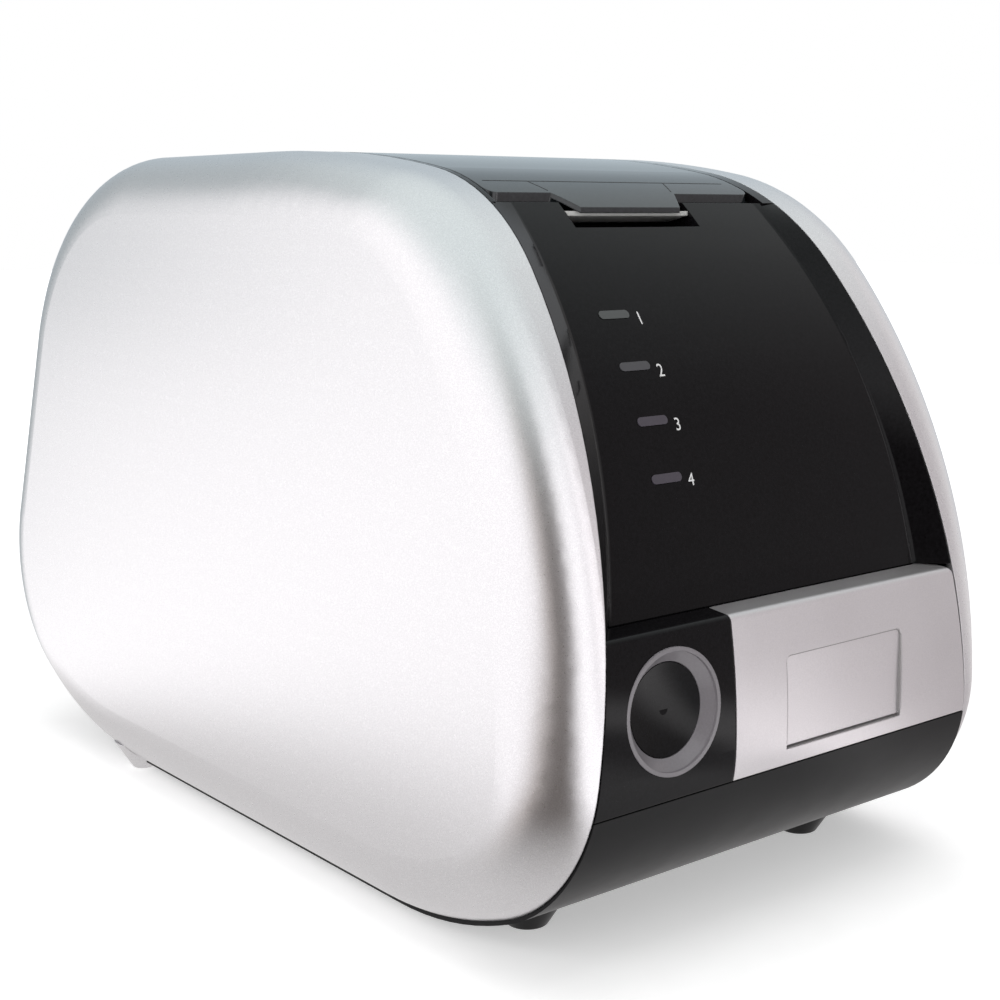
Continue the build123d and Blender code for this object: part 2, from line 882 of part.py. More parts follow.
with BuildSketch() as plate_view:
    with BuildLine():
        Polyline(
            (-overrun, drawer_bottom),
            (plate_back, drawer_bottom),
            (plate_back, ledge_back_height),
            ledge_corner,
            (-overrun, ledge_front_height),
            close=True,
        )
    make_face()
    add(outer_outline, mode=Mode.INTERSECT)
    fillet(vertices().sort_by_distance(ledge_corner)[0], ledge_edge_radius)

plate_inner_outline = housing_outline(plate_wall)

with BuildSketch() as plate_hollow_view:
    add(plate_inner_outline)
    hollow_box = side_box(
        0, plate_back + overrun, drawer_bottom + plate_wall, ledge_front_height - plate_wall
    )
    add(hollow_box, mode=Mode.INTERSECT)

button_lean = asin((button_height - front_height) / brow_lower_radius)
button_plane = Plane(
    origin=(button_x, front_y + front_at(button_height), button_height),
    x_dir=(1, 0, 0),
    z_dir=(0, -cos(button_lean), sin(button_lean)),
)
button_section = Plane(
    origin=button_plane.origin,
    x_dir=(1, 0, 0),
    z_dir=(0, -sin(button_lean), -cos(button_lean)),
)
button_axis = Axis(button_plane.origin, button_plane.z_dir)
bore_radius = button_radius + button_clearance
sleeve_radius = bore_radius + ring_sleeve_wall
button_post_places = [
    (button_post_reach * x_hand, button_post_reach * y_hand) for x_hand in (-1, 1) for y_hand in (-1, 1)
]

with BuildPart() as button_plate_hollow:
    add(side_block(plate_hollow_view.sketch, -outer_base_half, parting_x - joint_gap / 2 - plate_wall))
    split(bisect_by=seam_plane(-1, plate_wall), keep=Keep.BOTTOM)

with BuildPart() as ring_boss:
    with BuildSketch(button_plane.offset(-ring_seat_depth - ring_boss_wall)):
        Circle(ring_radius + ring_boss_wall)
    extrude(amount=ring_seat_depth + ring_boss_wall)
    with BuildSketch(button_plane.offset(-button_board_depth)):
        with Locations(button_post_places):
            Circle(button_post_radius)
    extrude(amount=button_board_depth - plate_wall)
    add(side_block(outer_outline, -outer_base_half, outer_base_half), mode=Mode.INTERSECT)

with BuildPart() as button_plate:
    add(side_block(plate_view.sketch, -outer_base_half, parting_x - joint_gap / 2))
    split(bisect_by=seam_plane(-1, seam_gap), keep=Keep.BOTTOM)
    add(button_plate_hollow.part, mode=Mode.SUBTRACT)
    add(ring_boss.part)
    with BuildSketch(button_plane.offset(-ring_seat_depth)):
        Circle(ring_radius)
    extrude(amount=ring_seat_depth + overrun, mode=Mode.SUBTRACT)
    with BuildSketch(button_plane.offset(-overrun)):
        Circle(sleeve_radius)
    extrude(amount=overrun, mode=Mode.SUBTRACT)

button_plate.part.label = "button_plate"
export_step(button_plate.part, "parts/button_plate.step")

with BuildPart() as button_ring:
    with BuildSketch(button_section):
        with BuildLine():
            Polyline(
                (bore_radius, -button_recess),
                (ring_radius - ring_rim_width, -ring_step),
                (ring_radius - ring_rim_width, 0),
                (ring_radius, 0),
                (ring_radius, -ring_seat_depth),
                (sleeve_radius, -ring_seat_depth),
                (sleeve_radius, -ring_sleeve_depth),
                (bore_radius, -ring_sleeve_depth),
                close=True,
            )
        make_face()
    revolve(axis=button_axis)

button_ring.part.label = "button_ring"
export_step(button_ring.part, "parts/button_ring.step")

# Power button: a dished cap held from behind by its flange, with a stem over the switch
button_top = -button_recess
flange_top = -ring_sleeve_depth - seat_gap
flange_low = flange_top - button_flange_thick
plunger_top = -button_board_depth + switch_thick + switch_plunger_thick
stem_end = plunger_top + button_travel + seat_gap
skirt_inner = button_radius - button_skirt_wall

with BuildPart() as power_button:
    with BuildSketch(button_section):
        with BuildLine():
            dish = ThreePointArc(
                (-button_radius, button_top), (0, button_top - button_dish), (button_radius, button_top)
            )
            Polyline(
                dish @ 1,
                (button_radius, flange_top),
                (sleeve_radius, flange_top),
                (sleeve_radius, flange_low),
                (skirt_inner, flange_low),
                (skirt_inner, button_top - button_thick),
                (button_stem_radius, button_top - button_thick),
                (button_stem_radius, stem_end),
                (-button_stem_radius, stem_end),
                (-button_stem_radius, button_top - button_thick),
                (-skirt_inner, button_top - button_thick),
                (-skirt_inner, flange_low),
                (-sleeve_radius, flange_low),
                (-sleeve_radius, flange_top),
                (-button_radius, flange_top),
                dish @ 0,
            )
        make_face()
        with Locations((-overrun / 2, 0)):
            Rectangle(overrun, 2 * overrun, mode=Mode.SUBTRACT)
    revolve(axis=button_axis)

power_button.part.label = "power_button"
export_step(power_button.part, "parts/power_button.step")

with BuildPart() as button_board:
    with BuildSketch(button_plane.offset(-button_board_depth)):
        RectangleRounded(button_board_size, button_board_size, button_post_radius)
        with Locations(button_post_places):
            Circle(screw_radius, mode=Mode.SUBTRACT)
    extrude(amount=-board_thick)
    with BuildSketch(button_plane.offset(-button_board_depth)):
        Rectangle(switch_size, switch_size)
    extrude(amount=switch_thick)
    with BuildSketch(button_plane.offset(switch_thick - button_board_depth)):
        Circle(switch_plunger_radius)
    extrude(amount=switch_plunger_thick)

button_board.part.label = "button_board"
export_step(button_board.part, "parts/button_board.step")

# Output drawer: silver front with its label recess, and the tray that catches the plates
drawer_left = parting_x + joint_gap / 2

with BuildPart() as drawer_front:
    add(side_block(plate_view.sketch, drawer_left, outer_base_half))
    with BuildSketch(Plane(origin=(0, front_y - overrun, 0), x_dir=(1, 0, 0), z_dir=(0, -1, 0))):
        with BuildLine():
            Polyline(
                (drawer_left, drawer_bottom),
                (seam_half(drawer_bottom) - drawer_gap, drawer_bottom),
                (seam_half(ledge_height) - drawer_gap, ledge_height),
                (drawer_left, ledge_height),
                close=True,
            )
        make_face()
        fillet(vertices().sort_by(Axis.Y)[-2:].sort_by(Axis.X)[-1], drawer_corner_radius)
    extrude(amount=-2 * overrun, mode=Mode.INTERSECT)

with BuildPart() as drawer_hollow:
    add(side_block(plate_hollow_view.sketch, drawer_left + plate_wall, outer_base_half))
    split(bisect_by=seam_plane(1, drawer_gap + plate_wall), keep=Keep.BOTTOM)

recess_floor = front_at(recess_bottom) + recess_deep

with BuildPart() as label_recess:
    with BuildSketch(side.offset(recess_left)):
        with BuildLine():
            Polyline(
                (-overrun, recess_top),
                (front_at(recess_top) + recess_shallow, recess_top),
                (recess_floor, recess_bottom + recess_slit_height),
                (recess_floor + recess_slit_depth, recess_bottom + recess_slit_height),
                (recess_floor + recess_slit_depth, recess_bottom),
                (-overrun, recess_bottom),
                close=True,
            )
        make_face()
    extrude(amount=recess_right - recess_left)
    fillet(edges().filter_by(Axis.Y).group_by(Axis.Z)[-1], recess_corner_radius)

tray_front = plate_back / 2
tray_bottom = tray_floor - tray_wall
tray_top = tray_floor + tray_side_height

with BuildPart() as output_drawer:
    add(drawer_front.part)
    add(drawer_hollow.part, mode=Mode.SUBTRACT)
    add(label_recess.part, mode=Mode.SUBTRACT)
    add(box_between(tray_left, tray_right, tray_front, tray_back_depth, tray_bottom, tray_top))
    add(
        box_between(
            tray_left + tray_wall,
            tray_right - tray_wall,
            tray_front,
            tray_back_depth - tray_wall,
            tray_floor,
            ledge_front_height - plate_wall,
        ),
        mode=Mode.SUBTRACT,
    )
    add(
        box_between(
            tray_left + tray_wall,
            tray_right - tray_wall,
            tray_back_depth - tray_wall * 2,
            tray_back_depth + overrun,
            tray_floor + tray_back_height,
            ledge_height,
        ),
        mode=Mode.SUBTRACT,
    )

output_drawer.part.label = "output_drawer"
export_step(output_drawer.part, "parts/output_drawer.step")

# Base cover: the dark chin and tub below, with the bosses that carry the chassis
base_boss_places = [
    (hand * base_boss_x, front_y + depth)
    for hand in (-1, 1)
    for depth in (base_boss_front, base_boss_middle, base_boss_back)
]

with BuildSketch() as base_view:
    add(outer_outline)
    with BuildLine():
        Polyline(
            (-overrun, 0),
            (-overrun, drawer_bottom - joint_gap),
            (base_step_depth, drawer_bottom - joint_gap),
            (base_step_depth, base_split_height),
            (housing_depth + overrun, base_split_height),
            (housing_depth + overrun, 0),
            close=True,
        )
    make_face(mode=Mode.INTERSECT)

with BuildPart() as base_cover:
    add(band_block(base_view.sketch, seam_gap, seam_gap))
    add(band_block(wall_outline, band_wall, band_wall), mode=Mode.SUBTRACT)
    with BuildSketch(Plane.XY.offset(base_height + band_wall / 2)):
        with Locations(base_boss_places):
            Circle(base_boss_radius)
    extrude(amount=chassis_height - base_height - band_wall / 2)
    with BuildSketch(Plane.XY):
        with Locations(base_boss_places):
            Circle(screw_radius)
    extrude(amount=chassis_height, mode=Mode.SUBTRACT)
    with BuildSketch(Plane.XY):
        with Locations(base_boss_places):
            Circle(screw_head_radius + running_gap)
    extrude(amount=base_height + band_wall / 2, mode=Mode.SUBTRACT)

base_cover.part.label = "base_cover"
export_step(base_cover.part, "parts/base_cover.step")

# Feet: tapered pads under the chin and, smaller, under the side covers behind
with BuildPart() as housing_form:
    add(band_block(outer_outline, 0, 0))
    add(cover_form.part)
    mirror(cover_form.part, about=Plane.YZ)


def foot_pair(radius, across, depth):
    """Two pads that widen upwards to the housing's underside."""
    with BuildPart() as pads:
        with BuildSketch():
            with Locations((-across, front_y + depth), (across, front_y + depth)):
                Circle(radius)
        extrude(amount=foot_height, taper=-foot_flare_angle)
        add(housing_form.part, mode=Mode.SUBTRACT)
        fillet(faces().group_by(Axis.Z)[0].edges(), foot_edge_radius)
    return pads.part


with BuildPart() as front_feet:
    add(foot_pair(foot_front_radius, foot_front_x, foot_front_depth))

front_feet.part.label = "front_feet"
export_step(front_feet.part, "parts/front_feet.step")

with BuildPart() as rear_feet:
    add(foot_pair(foot_rear_radius, foot_rear_x, foot_rear_depth))

rear_feet.part.label = "rear_feet"
export_step(rear_feet.part, "parts/rear_feet.step")

# Chassis: a steel floor plate on the base bosses and two upright frame plates
chassis_top = chassis_height + chassis_thick

with BuildPart() as chassis_plate:
    with BuildSketch(Plane(origin=(0, front_y, chassis_height))):
        with Locations((0, (chassis_front_depth + chassis_back_depth) / 2)):
            Rectangle(2 * chassis_half, chassis_back_depth - chassis_front_depth)
    extrude(amount=chassis_thick)
    with BuildSketch(Plane.XY.offset(chassis_height)):
        with Locations(base_boss_places):
            Circle(screw_radius)
    extrude(amount=chassis_thick, mode=Mode.SUBTRACT)

chassis_plate.part.label = "chassis_plate"
export_step(chassis_plate.part, "parts/chassis_plate.step")

with BuildPart() as base_screws:
    with BuildSketch(Plane.XY.offset(base_height + band_wall / 2)):
        with Locations(base_boss_places):
            Circle(screw_head_radius)
    extrude(amount=-screw_head_thick)
    with BuildSketch(Plane.XY.offset(base_height + band_wall / 2)):
        with Locations(base_boss_places):
            Circle(screw_radius)
    extrude(amount=screw_length)

base_screws.part.label = "base_screws"
export_step(base_screws.part, "parts/base_screws.step")

# Places of the plate path: level under the lid, a quarter bend, then straight down
path_height = pocket_floor + slot_height / 2
bend_centre = (feed_nip_depth, path_height - bend_radius)
path_depth = feed_nip_depth + bend_radius
drive_step = drive_radius + plate_gap / 2
pinch_step = pinch_radius + plate_gap / 2
feed_drive_place = (feed_nip_depth, path_height - drive_step)
feed_pinch_place = (feed_nip_depth, path_height + pinch_step)
scan_drive_place = (path_depth - drive_step, scan_nip_height)
scan_pinch_place = (path_depth + pinch_step, scan_nip_height)
exit_drive_place = (path_depth - drive_step, exit_nip_height)
exit_pinch_place = (path_depth + pinch_step, exit_nip_height)
drive_places = (feed_drive_place, scan_drive_place, exit_drive_place)
pinch_places = (feed_pinch_place, scan_pinch_place, exit_pinch_place)
motor_place = (motor_depth, motor_height)
window_places = [
    (frame_front_depth + 2 * frame_window_radius, frame_front_depth + frame_window_radius),
    ((frame_back_depth + path_depth) / 2, frame_front_depth + frame_window_radius),
]

inside_half = frame_half - frame_thick

with BuildSketch() as frame_view:
    add(housing_outline(frame_inset))
    add(side_box(frame_front_depth, frame_back_depth, chassis_top, roof_height), mode=Mode.INTERSECT)
    add(side_box(0, frame_step_depth, frame_step_height, roof_height), mode=Mode.SUBTRACT)
    with Locations(hinge_place):
        Circle(trough_radius + hinge_trough_wall + seat_gap, mode=Mode.SUBTRACT)
    with Locations(drive_places + pinch_places):
        Circle(bush_radius, mode=Mode.SUBTRACT)
    with Locations(side_boss_places):
        Circle(screw_radius, mode=Mode.SUBTRACT)
    with Locations(window_places):
        Circle(frame_window_radius, mode=Mode.SUBTRACT)

with BuildPart() as plain_frame_plate:
    with BuildSketch(side.offset(frame_half - frame_thick)):
        add(frame_view.sketch)
    extrude(amount=frame_thick)
    add(
        box_between(
            frame_half - frame_foot_width,
            frame_half,
            frame_front_depth + frame_foot_width + frame_thick,
            frame_back_depth,
            chassis_top,
            chassis_top + frame_thick,
        )
    )

with BuildPart() as left_frame_plate:
    mirror(plain_frame_plate.part, about=Plane.YZ)
    add(bar_across(motor_boss_radius, -frame_half, -inside_half, motor_place), mode=Mode.SUBTRACT)

left_frame_plate.part.label = "left_frame_plate"
export_step(left_frame_plate.part, "parts/left_frame_plate.step")

with BuildPart() as side_cover_screws:
    for hand in (-1, 1):
        for place in side_boss_places:
            shank = sorted((hand * inside_half, hand * (inside_half + screw_length)))
            head = sorted((hand * inside_half, hand * (inside_half - screw_head_thick)))
            add(bar_across(screw_radius, shank[0], shank[1], place))
            add(bar_across(screw_head_radius, head[0], head[1], place))

side_cover_screws.part.label = "side_cover_screws"
export_step(side_cover_screws.part, "parts/side_cover_screws.step")

# Bushes: twelve rings in the frame plates
bush_bore = shaft_radius + running_gap

with BuildPart() as shaft_bushes:
    for hand in (-1, 1):
        inner, outer = sorted((hand * frame_half, hand * (frame_half - bush_length)))
        for place in drive_places + pinch_places:
            with BuildSketch(side.offset(inner)):
                with Locations(place):
                    Circle(bush_radius)
                    Circle(bush_bore, mode=Mode.SUBTRACT)
            extrude(amount=outer - inner)

shaft_bushes.part.label = "shaft_bushes"
export_step(shaft_bushes.part, "parts/shaft_bushes.step")

# Drive shafts with their pulleys, rubber sleeves and the pinch rollers that face them
pulley_right = pulley_left + pulley_width
shaft_right = frame_half + frame_thick


def flanged_pulley(place):
    """Belt pulley between its two flanges."""
    with BuildPart() as pulley:
        add(bar_across(pulley_radius, pulley_left, pulley_right, place))
        add(bar_across(pulley_flange_radius, pulley_left, pulley_left + pulley_flange, place))
        add(bar_across(pulley_flange_radius, pulley_right - pulley_flange, pulley_right, place))
    return pulley.part


def drive_shaft(place):
    """Steel shaft with its pulley on the left end."""
    with BuildPart() as shaft:
        add(bar_across(shaft_radius, pulley_left, shaft_right, place))
        add(flanged_pulley(place))
    return shaft.part


def drive_sleeve(place):
    """Rubber sleeve round a drive shaft."""
    with BuildPart() as sleeve:
        add(bar_across(drive_radius, sleeve_left, sleeve_right, place))
        add(bar_across(shaft_radius, sleeve_left, sleeve_right, place), mode=Mode.SUBTRACT)
    return sleeve.part


def pinch_roller(place):
    """Idle roller turned from one bar."""
    with BuildPart() as roller:
        add(bar_across(shaft_radius, -shaft_right, shaft_right, place))
        add(bar_across(pinch_radius, sleeve_left, sleeve_right, place))
    return roller.part


with BuildPart() as feed_shaft:
    add(drive_shaft(feed_drive_place))

feed_shaft.part.label = "feed_shaft"
export_step(feed_shaft.part, "parts/feed_shaft.step")

with BuildPart() as scan_shaft:
    add(drive_shaft(scan_drive_place))

scan_shaft.part.label = "scan_shaft"
export_step(scan_shaft.part, "parts/scan_shaft.step")

with BuildPart() as exit_shaft:
    add(drive_shaft(exit_drive_place))

exit_shaft.part.label = "exit_shaft"
export_step(exit_shaft.part, "parts/exit_shaft.step")

with BuildPart() as feed_sleeve:
    add(drive_sleeve(feed_drive_place))

feed_sleeve.part.label = "feed_sleeve"
export_step(feed_sleeve.part, "parts/feed_sleeve.step")

with BuildPart() as scan_sleeve:
    add(drive_sleeve(scan_drive_place))

scan_sleeve.part.label = "scan_sleeve"
export_step(scan_sleeve.part, "parts/scan_sleeve.step")

with BuildPart() as exit_sleeve:
    add(drive_sleeve(exit_drive_place))

exit_sleeve.part.label = "exit_sleeve"
export_step(exit_sleeve.part, "parts/exit_sleeve.step")

with BuildPart() as feed_pinch_roller:
    add(pinch_roller(feed_pinch_place))

feed_pinch_roller.part.label = "feed_pinch_roller"
export_step(feed_pinch_roller.part, "parts/feed_pinch_roller.step")

with BuildPart() as scan_pinch_roller:
    add(pinch_roller(scan_pinch_place))

scan_pinch_roller.part.label = "scan_pinch_roller"
export_step(scan_pinch_roller.part, "parts/scan_pinch_roller.step")

with BuildPart() as exit_pinch_roller:
    add(pinch_roller(exit_pinch_place))

exit_pinch_roller.part.label = "exit_pinch_roller"
export_step(exit_pinch_roller.part, "parts/exit_pinch_roller.step")

# Motor, its pulley and the belt round all four pulleys
with BuildPart() as stepper_motor:
    with BuildSketch(side.offset(-inside_half)):
        with Locations(motor_place):
            RectangleRounded(motor_size, motor_size, motor_corner)
    extrude(amount=motor_length)
    add(bar_across(motor_boss_radius, -frame_half, -inside_half, motor_place))
    motor_bore = motor_shaft_radius + running_gap
    add(bar_across(motor_bore, -frame_half, -inside_half, motor_place), mode=Mode.SUBTRACT)

stepper_motor.part.label = "stepper_motor"
export_step(stepper_motor.part, "parts/stepper_motor.step")

with BuildPart() as motor_pulley:
    add(bar_across(motor_shaft_radius, pulley_left, -inside_half, motor_place))
    add(flanged_pulley(motor_place))

motor_pulley.part.label = "motor_pulley"
export_step(motor_pulley.part, "parts/motor_pulley.step")


def belt_loop(reach):
    """Side view of all inside a loop round the four pulleys, at a reach from their centres."""
    with BuildSketch() as loop:
        with BuildLine():
            Polyline(feed_drive_place, scan_drive_place, exit_drive_place, motor_place, close=True)
        make_face()
        offset(amount=reach, kind=Kind.ARC)
    return loop.sketch


with BuildPart() as timing_belt:
    with BuildSketch(side.offset(pulley_left + pulley_flange + belt_gap)):
        add(belt_loop(pulley_radius + belt_gap + belt_thick))
        add(belt_loop(pulley_radius + belt_gap), mode=Mode.SUBTRACT)
    extrude(amount=pulley_width - 2 * (pulley_flange + belt_gap))

timing_belt.part.label = "timing_belt"
export_step(timing_belt.part, "parts/timing_belt.step")

# Plate guides: two bent sheets, the platen at the scan line and the chute into the drawer
guide_end_height = scan_nip_height + drive_radius + guide_rib / 2


def bent_guide(radius):
    """Side view of a guide sheet that follows the bend and then runs down."""
    with BuildSketch() as view:
        with BuildLine():
            outer = CenterArc(bend_centre, radius + guide_thick, 0, guide_start_angle)
            inner = CenterArc(bend_centre, radius, 0, guide_start_angle)
            Line(outer @ 1, inner @ 1)
            Polyline(
                inner @ 0,
                (bend_centre[0] + radius, guide_end_height),
                (bend_centre[0] + radius + guide_thick, guide_end_height),
                outer @ 0,
            )
        make_face()
    return view.sketch


def rib_place(radius):
    """Middle of a rib on the bend, at half its angle."""
    half = radians(guide_start_angle / 2)
    return (bend_centre[0] + radius * cos(half), bend_centre[1] + radius * sin(half))


with BuildPart() as outer_guide:
    add(side_block(bent_guide(bend_radius + guide_gap), sleeve_left, sleeve_right))
    outer_rib = rib_place(bend_radius + guide_gap + guide_rib / 2)
    add(bar_across(guide_rib / 2, -inside_half, inside_half, outer_rib))

outer_guide.part.label = "outer_guide"
export_step(outer_guide.part, "parts/outer_guide.step")

with BuildPart() as inner_guide:
    add(side_block(bent_guide(bend_radius - guide_gap - guide_thick), sleeve_left, sleeve_right))
    inner_rib = rib_place(bend_radius - guide_gap - guide_rib / 2)
    add(bar_across(guide_rib / 2, -inside_half, inside_half, inner_rib))

inner_guide.part.label = "inner_guide"
export_step(inner_guide.part, "parts/inner_guide.step")

platen_back = path_depth - guide_gap

with BuildPart() as scan_platen:
    add(
        box_between(
            sleeve_left,
            sleeve_right,
            platen_back - platen_thick,
            platen_back,
            scan_height - platen_half_height,
            scan_height + platen_half_height,
        )
    )
    add(
        box_between(
            -inside_half,
            inside_half,
            platen_back - platen_thick - guide_rib,
            platen_back - platen_thick,
            scan_height - guide_rib / 2,
            scan_height + guide_rib / 2,
        )
    )

scan_platen.part.label = "scan_platen"
export_step(scan_platen.part, "parts/scan_platen.step")

chute_left = tray_left + tray_wall + seat_gap
chute_front_depth = tray_back_depth - tray_wall
chute_centre = (path_depth + 2 * guide_gap - chute_radius, chute_top)
chute_end = radians(-chute_turn)
slope_length = (chute_centre[0] + chute_radius * cos(chute_end) - chute_front_depth) / sin(-chute_end)
slope_step = (-slope_length * sin(-chute_end), -slope_length * cos(chute_end))

with BuildPart() as exit_chute:
    with BuildSketch(side.offset(chute_left)):
        with BuildLine():
            upper = CenterArc(chute_centre, chute_radius, 0, -chute_turn)
            lower = CenterArc(chute_centre, chute_radius + guide_thick, 0, -chute_turn)
            upper_slope = Line(upper @ 1, upper @ 1 + slope_step)
            lower_slope = Line(lower @ 1, lower @ 1 + slope_step)
            Line(upper_slope @ 1, lower_slope @ 1)
            Line(upper @ 0, lower @ 0)
        make_face()
    extrude(amount=sleeve_right - chute_left)
    rib_depth = chute_centre[0] + (chute_radius + guide_rib / 2) * cos(chute_end / 2)
    rib_height = chute_centre[1] + (chute_radius + guide_rib / 2) * sin(chute_end / 2)
    add(bar_across(guide_rib / 2, -inside_half, inside_half, (rib_depth, rib_height)))

exit_chute.part.label = "exit_chute"
export_step(exit_chute.part, "parts/exit_chute.step")

# Runner: the fixed shelf between the frame plates on which the drawer's tray slides
runner_top = tray_bottom - seat_gap
runner_back_depth = tray_back_depth + runner_back_margin

with BuildPart() as drawer_runner:
    add(
        box_between(
            -inside_half,
            inside_half,
            frame_front_depth,
            runner_back_depth,
            runner_top - runner_thick,
            runner_top,
        )
    )
    for inner, outer in (
        (tray_left - seat_gap, tray_left - seat_gap - runner_thick),
        (tray_right + seat_gap, tray_right + seat_gap + runner_thick),
    ):
        add(
            box_between(
                min(inner, outer),
                max(inner, outer),
                runner_front_depth,
                runner_back_depth,
                runner_top - runner_thick,
                runner_top + runner_guide_height,
            )
        )
    add(
        box_between(
            tray_left - seat_gap,
            tray_right + seat_gap,
            runner_front_depth,
            frame_front_depth,
            runner_top - runner_thick,
            runner_top,
        )
    )

drawer_runner.part.label = "drawer_runner"
export_step(drawer_runner.part, "parts/drawer_runner.step")

# Optics: a bench between the frame plates with the turning mirror, its motor, the laser and the lens
bench_top = scan_height - bench_drop
bench_low = bench_top - bench_thick
sleeve_middle = (sleeve_left + sleeve_right) / 2

mirror_inner = mirror_radius * cos(radians(180 / mirror_sides))
laser_place = (mirror_depth - mirror_inner * cos(radians(laser_strike_angle)), scan_height)
laser_left = sleeve_middle + mirror_radius + laser_reach
block_half = laser_radius + laser_block_wall

with BuildPart() as optical_bench:
    add(box_between(-inside_half, inside_half, bench_front_depth, bench_back_depth, bench_low, bench_top))
    add(
        box_between(
            laser_left + laser_block_wall,
            laser_left + laser_length - laser_block_wall,
            laser_place[0] - block_half,
            laser_place[0] + block_half,
            bench_top,
            scan_height + block_half,
        )
    )
    add(bar_across(laser_radius, laser_left, laser_left + laser_length, laser_place), mode=Mode.SUBTRACT)

optical_bench.part.label = "optical_bench"
export_step(optical_bench.part, "parts/optical_bench.step")

with BuildPart() as mirror_motor:
    with BuildSketch(Plane(origin=(sleeve_middle, front_y + mirror_depth, bench_top))):
        Circle(mirror_motor_radius)
    extrude(amount=mirror_motor_height)
    with BuildSketch(Plane(origin=(sleeve_middle, front_y + mirror_depth, bench_top))):
        Circle(mirror_shaft_radius + running_gap)
    extrude(amount=mirror_motor_height, mode=Mode.SUBTRACT)

mirror_motor.part.label = "mirror_motor"
export_step(mirror_motor.part, "parts/mirror_motor.step")

mirror_low = scan_height - mirror_thick / 2

with BuildPart() as scan_mirror:
    with BuildSketch(Plane(origin=(sleeve_middle, front_y + mirror_depth, bench_top + seat_gap))):
        Circle(mirror_shaft_radius)
    extrude(amount=scan_height - bench_top)
    with BuildSketch(Plane(origin=(sleeve_middle, front_y + mirror_depth, mirror_low))):
        RegularPolygon(mirror_radius, mirror_sides, rotation=180 / mirror_sides / 2)
    extrude(amount=mirror_thick)
    with BuildSketch(Plane(origin=(sleeve_middle, front_y + mirror_depth, mirror_low + mirror_thick))):
        Circle(mirror_hub_radius)
    extrude(amount=mirror_hub_radius / 2)

scan_mirror.part.label = "scan_mirror"
export_step(scan_mirror.part, "parts/scan_mirror.step")

with BuildPart() as scan_lens:
    with BuildSketch(Plane(origin=(sleeve_middle, front_y + lens_depth, bench_top + lens_foot))):
        with BuildLine():
            front_face = ThreePointArc((-lens_half, 0), (0, -lens_bulge), (lens_half, 0))
            back_face = ThreePointArc(
                (-lens_half, lens_thick), (0, lens_thick - lens_bulge / 2), (lens_half, lens_thick)
            )
            Line(front_face @ 0, back_face @ 0)
            Line(front_face @ 1, back_face @ 1)
        make_face()
    extrude(amount=2 * (scan_height - bench_top - lens_foot))
    for hand in (-1, 1):
        foot_x = sleeve_middle + hand * (lens_half - lens_foot)
        with BuildSketch(Plane(origin=(foot_x, front_y + lens_depth + lens_thick / 2, bench_top))):
            Rectangle(2 * lens_foot, lens_thick)
        extrude(amount=lens_foot)

scan_lens.part.label = "scan_lens"
export_step(scan_lens.part, "parts/scan_lens.step")

with BuildPart() as laser_module:
    add(bar_across(laser_radius, laser_left, laser_left + laser_length, laser_place))
    add(bar_across(laser_radius / 2, laser_left, laser_left + laser_radius, laser_place), mode=Mode.SUBTRACT)

laser_module.part.label = "laser_module"
export_step(laser_module.part, "parts/laser_module.step")

# Light collector: a clear wedge from the scan line to the round detector tube
slope_angle = radians(collector_angle)
collector_plane = Plane(
    origin=(sleeve_middle, front_y + collector_depth, collector_height),
    x_dir=(1, 0, 0),
    z_dir=(0, cos(slope_angle), sin(slope_angle)),
)

with BuildPart() as light_collector:
    with BuildSketch(collector_plane):
        Rectangle(2 * collector_half_width, collector_mouth)
    with BuildSketch(collector_plane.offset(collector_length)):
        Circle(collector_exit_radius)
    loft()

light_collector.part.label = "light_collector"
export_step(light_collector.part, "parts/light_collector.step")

with BuildPart() as detector_tube:
    with BuildSketch(collector_plane.offset(collector_length)):
        Circle(tube_radius)
    extrude(amount=tube_length)
    fillet(faces().sort_by(Axis.Z)[-1].edges(), screw_radius)

detector_tube.part.label = "detector_tube"
export_step(detector_tube.part, "parts/detector_tube.step")

with BuildPart() as tube_bracket:
    with BuildSketch(collector_plane.offset(collector_length + tube_bracket_place)):
        with Locations((-sleeve_middle, 0)):
            Rectangle(2 * inside_half, 2 * tube_bracket_half_height)
        Circle(tube_radius, mode=Mode.SUBTRACT)
    extrude(amount=tube_bracket_thick)

tube_bracket.part.label = "tube_bracket"
export_step(tube_bracket.part, "parts/tube_bracket.step")

# Erase lamps: a narrow board of lamps just under the scan line
erase_pitch = (sleeve_right - sleeve_left) / erase_lamp_count

with BuildPart() as erase_lamp_board:
    add(
        box_between(
            -inside_half,
            inside_half,
            erase_board_depth,
            erase_board_depth + board_thick,
            erase_board_low,
            erase_board_high,
        )
    )
    for step in range(erase_lamp_count):
        with BuildSketch(
            Plane(
                origin=(
                    sleeve_left + (step + 1 / 2) * erase_pitch,
                    front_y + erase_board_depth,
                    (erase_board_low + erase_board_high) / 2,
                ),
                z_dir=(0, -1, 0),
            )
        ):
            Circle(erase_lamp_radius)
        extrude(amount=erase_lamp_length)

erase_lamp_board.part.label = "erase_lamp_board"
export_step(erase_lamp_board.part, "parts/erase_lamp_board.step")

# Main board beside the right frame plate, which carries its hexagonal standoffs
main_board_left = frame_half + main_board_standoff
main_board_right = main_board_left + board_thick
board_hole_places = [
    (depth, height)
    for depth in (main_board_front + main_board_margin, main_board_back - main_board_margin)
    for height in (main_board_low + main_board_margin, main_board_high - main_board_margin)
]
processor_middle = ((main_board_front + main_board_back) / 2, (main_board_low + main_board_high) / 2)

with BuildPart() as right_frame_plate:
    add(plain_frame_plate.part)
    for place in board_hole_places:
        with BuildSketch(side.offset(frame_half)):
            with Locations(place):
                RegularPolygon(standoff_radius, standoff_sides)
                Circle(screw_radius, mode=Mode.SUBTRACT)
        extrude(amount=main_board_standoff)

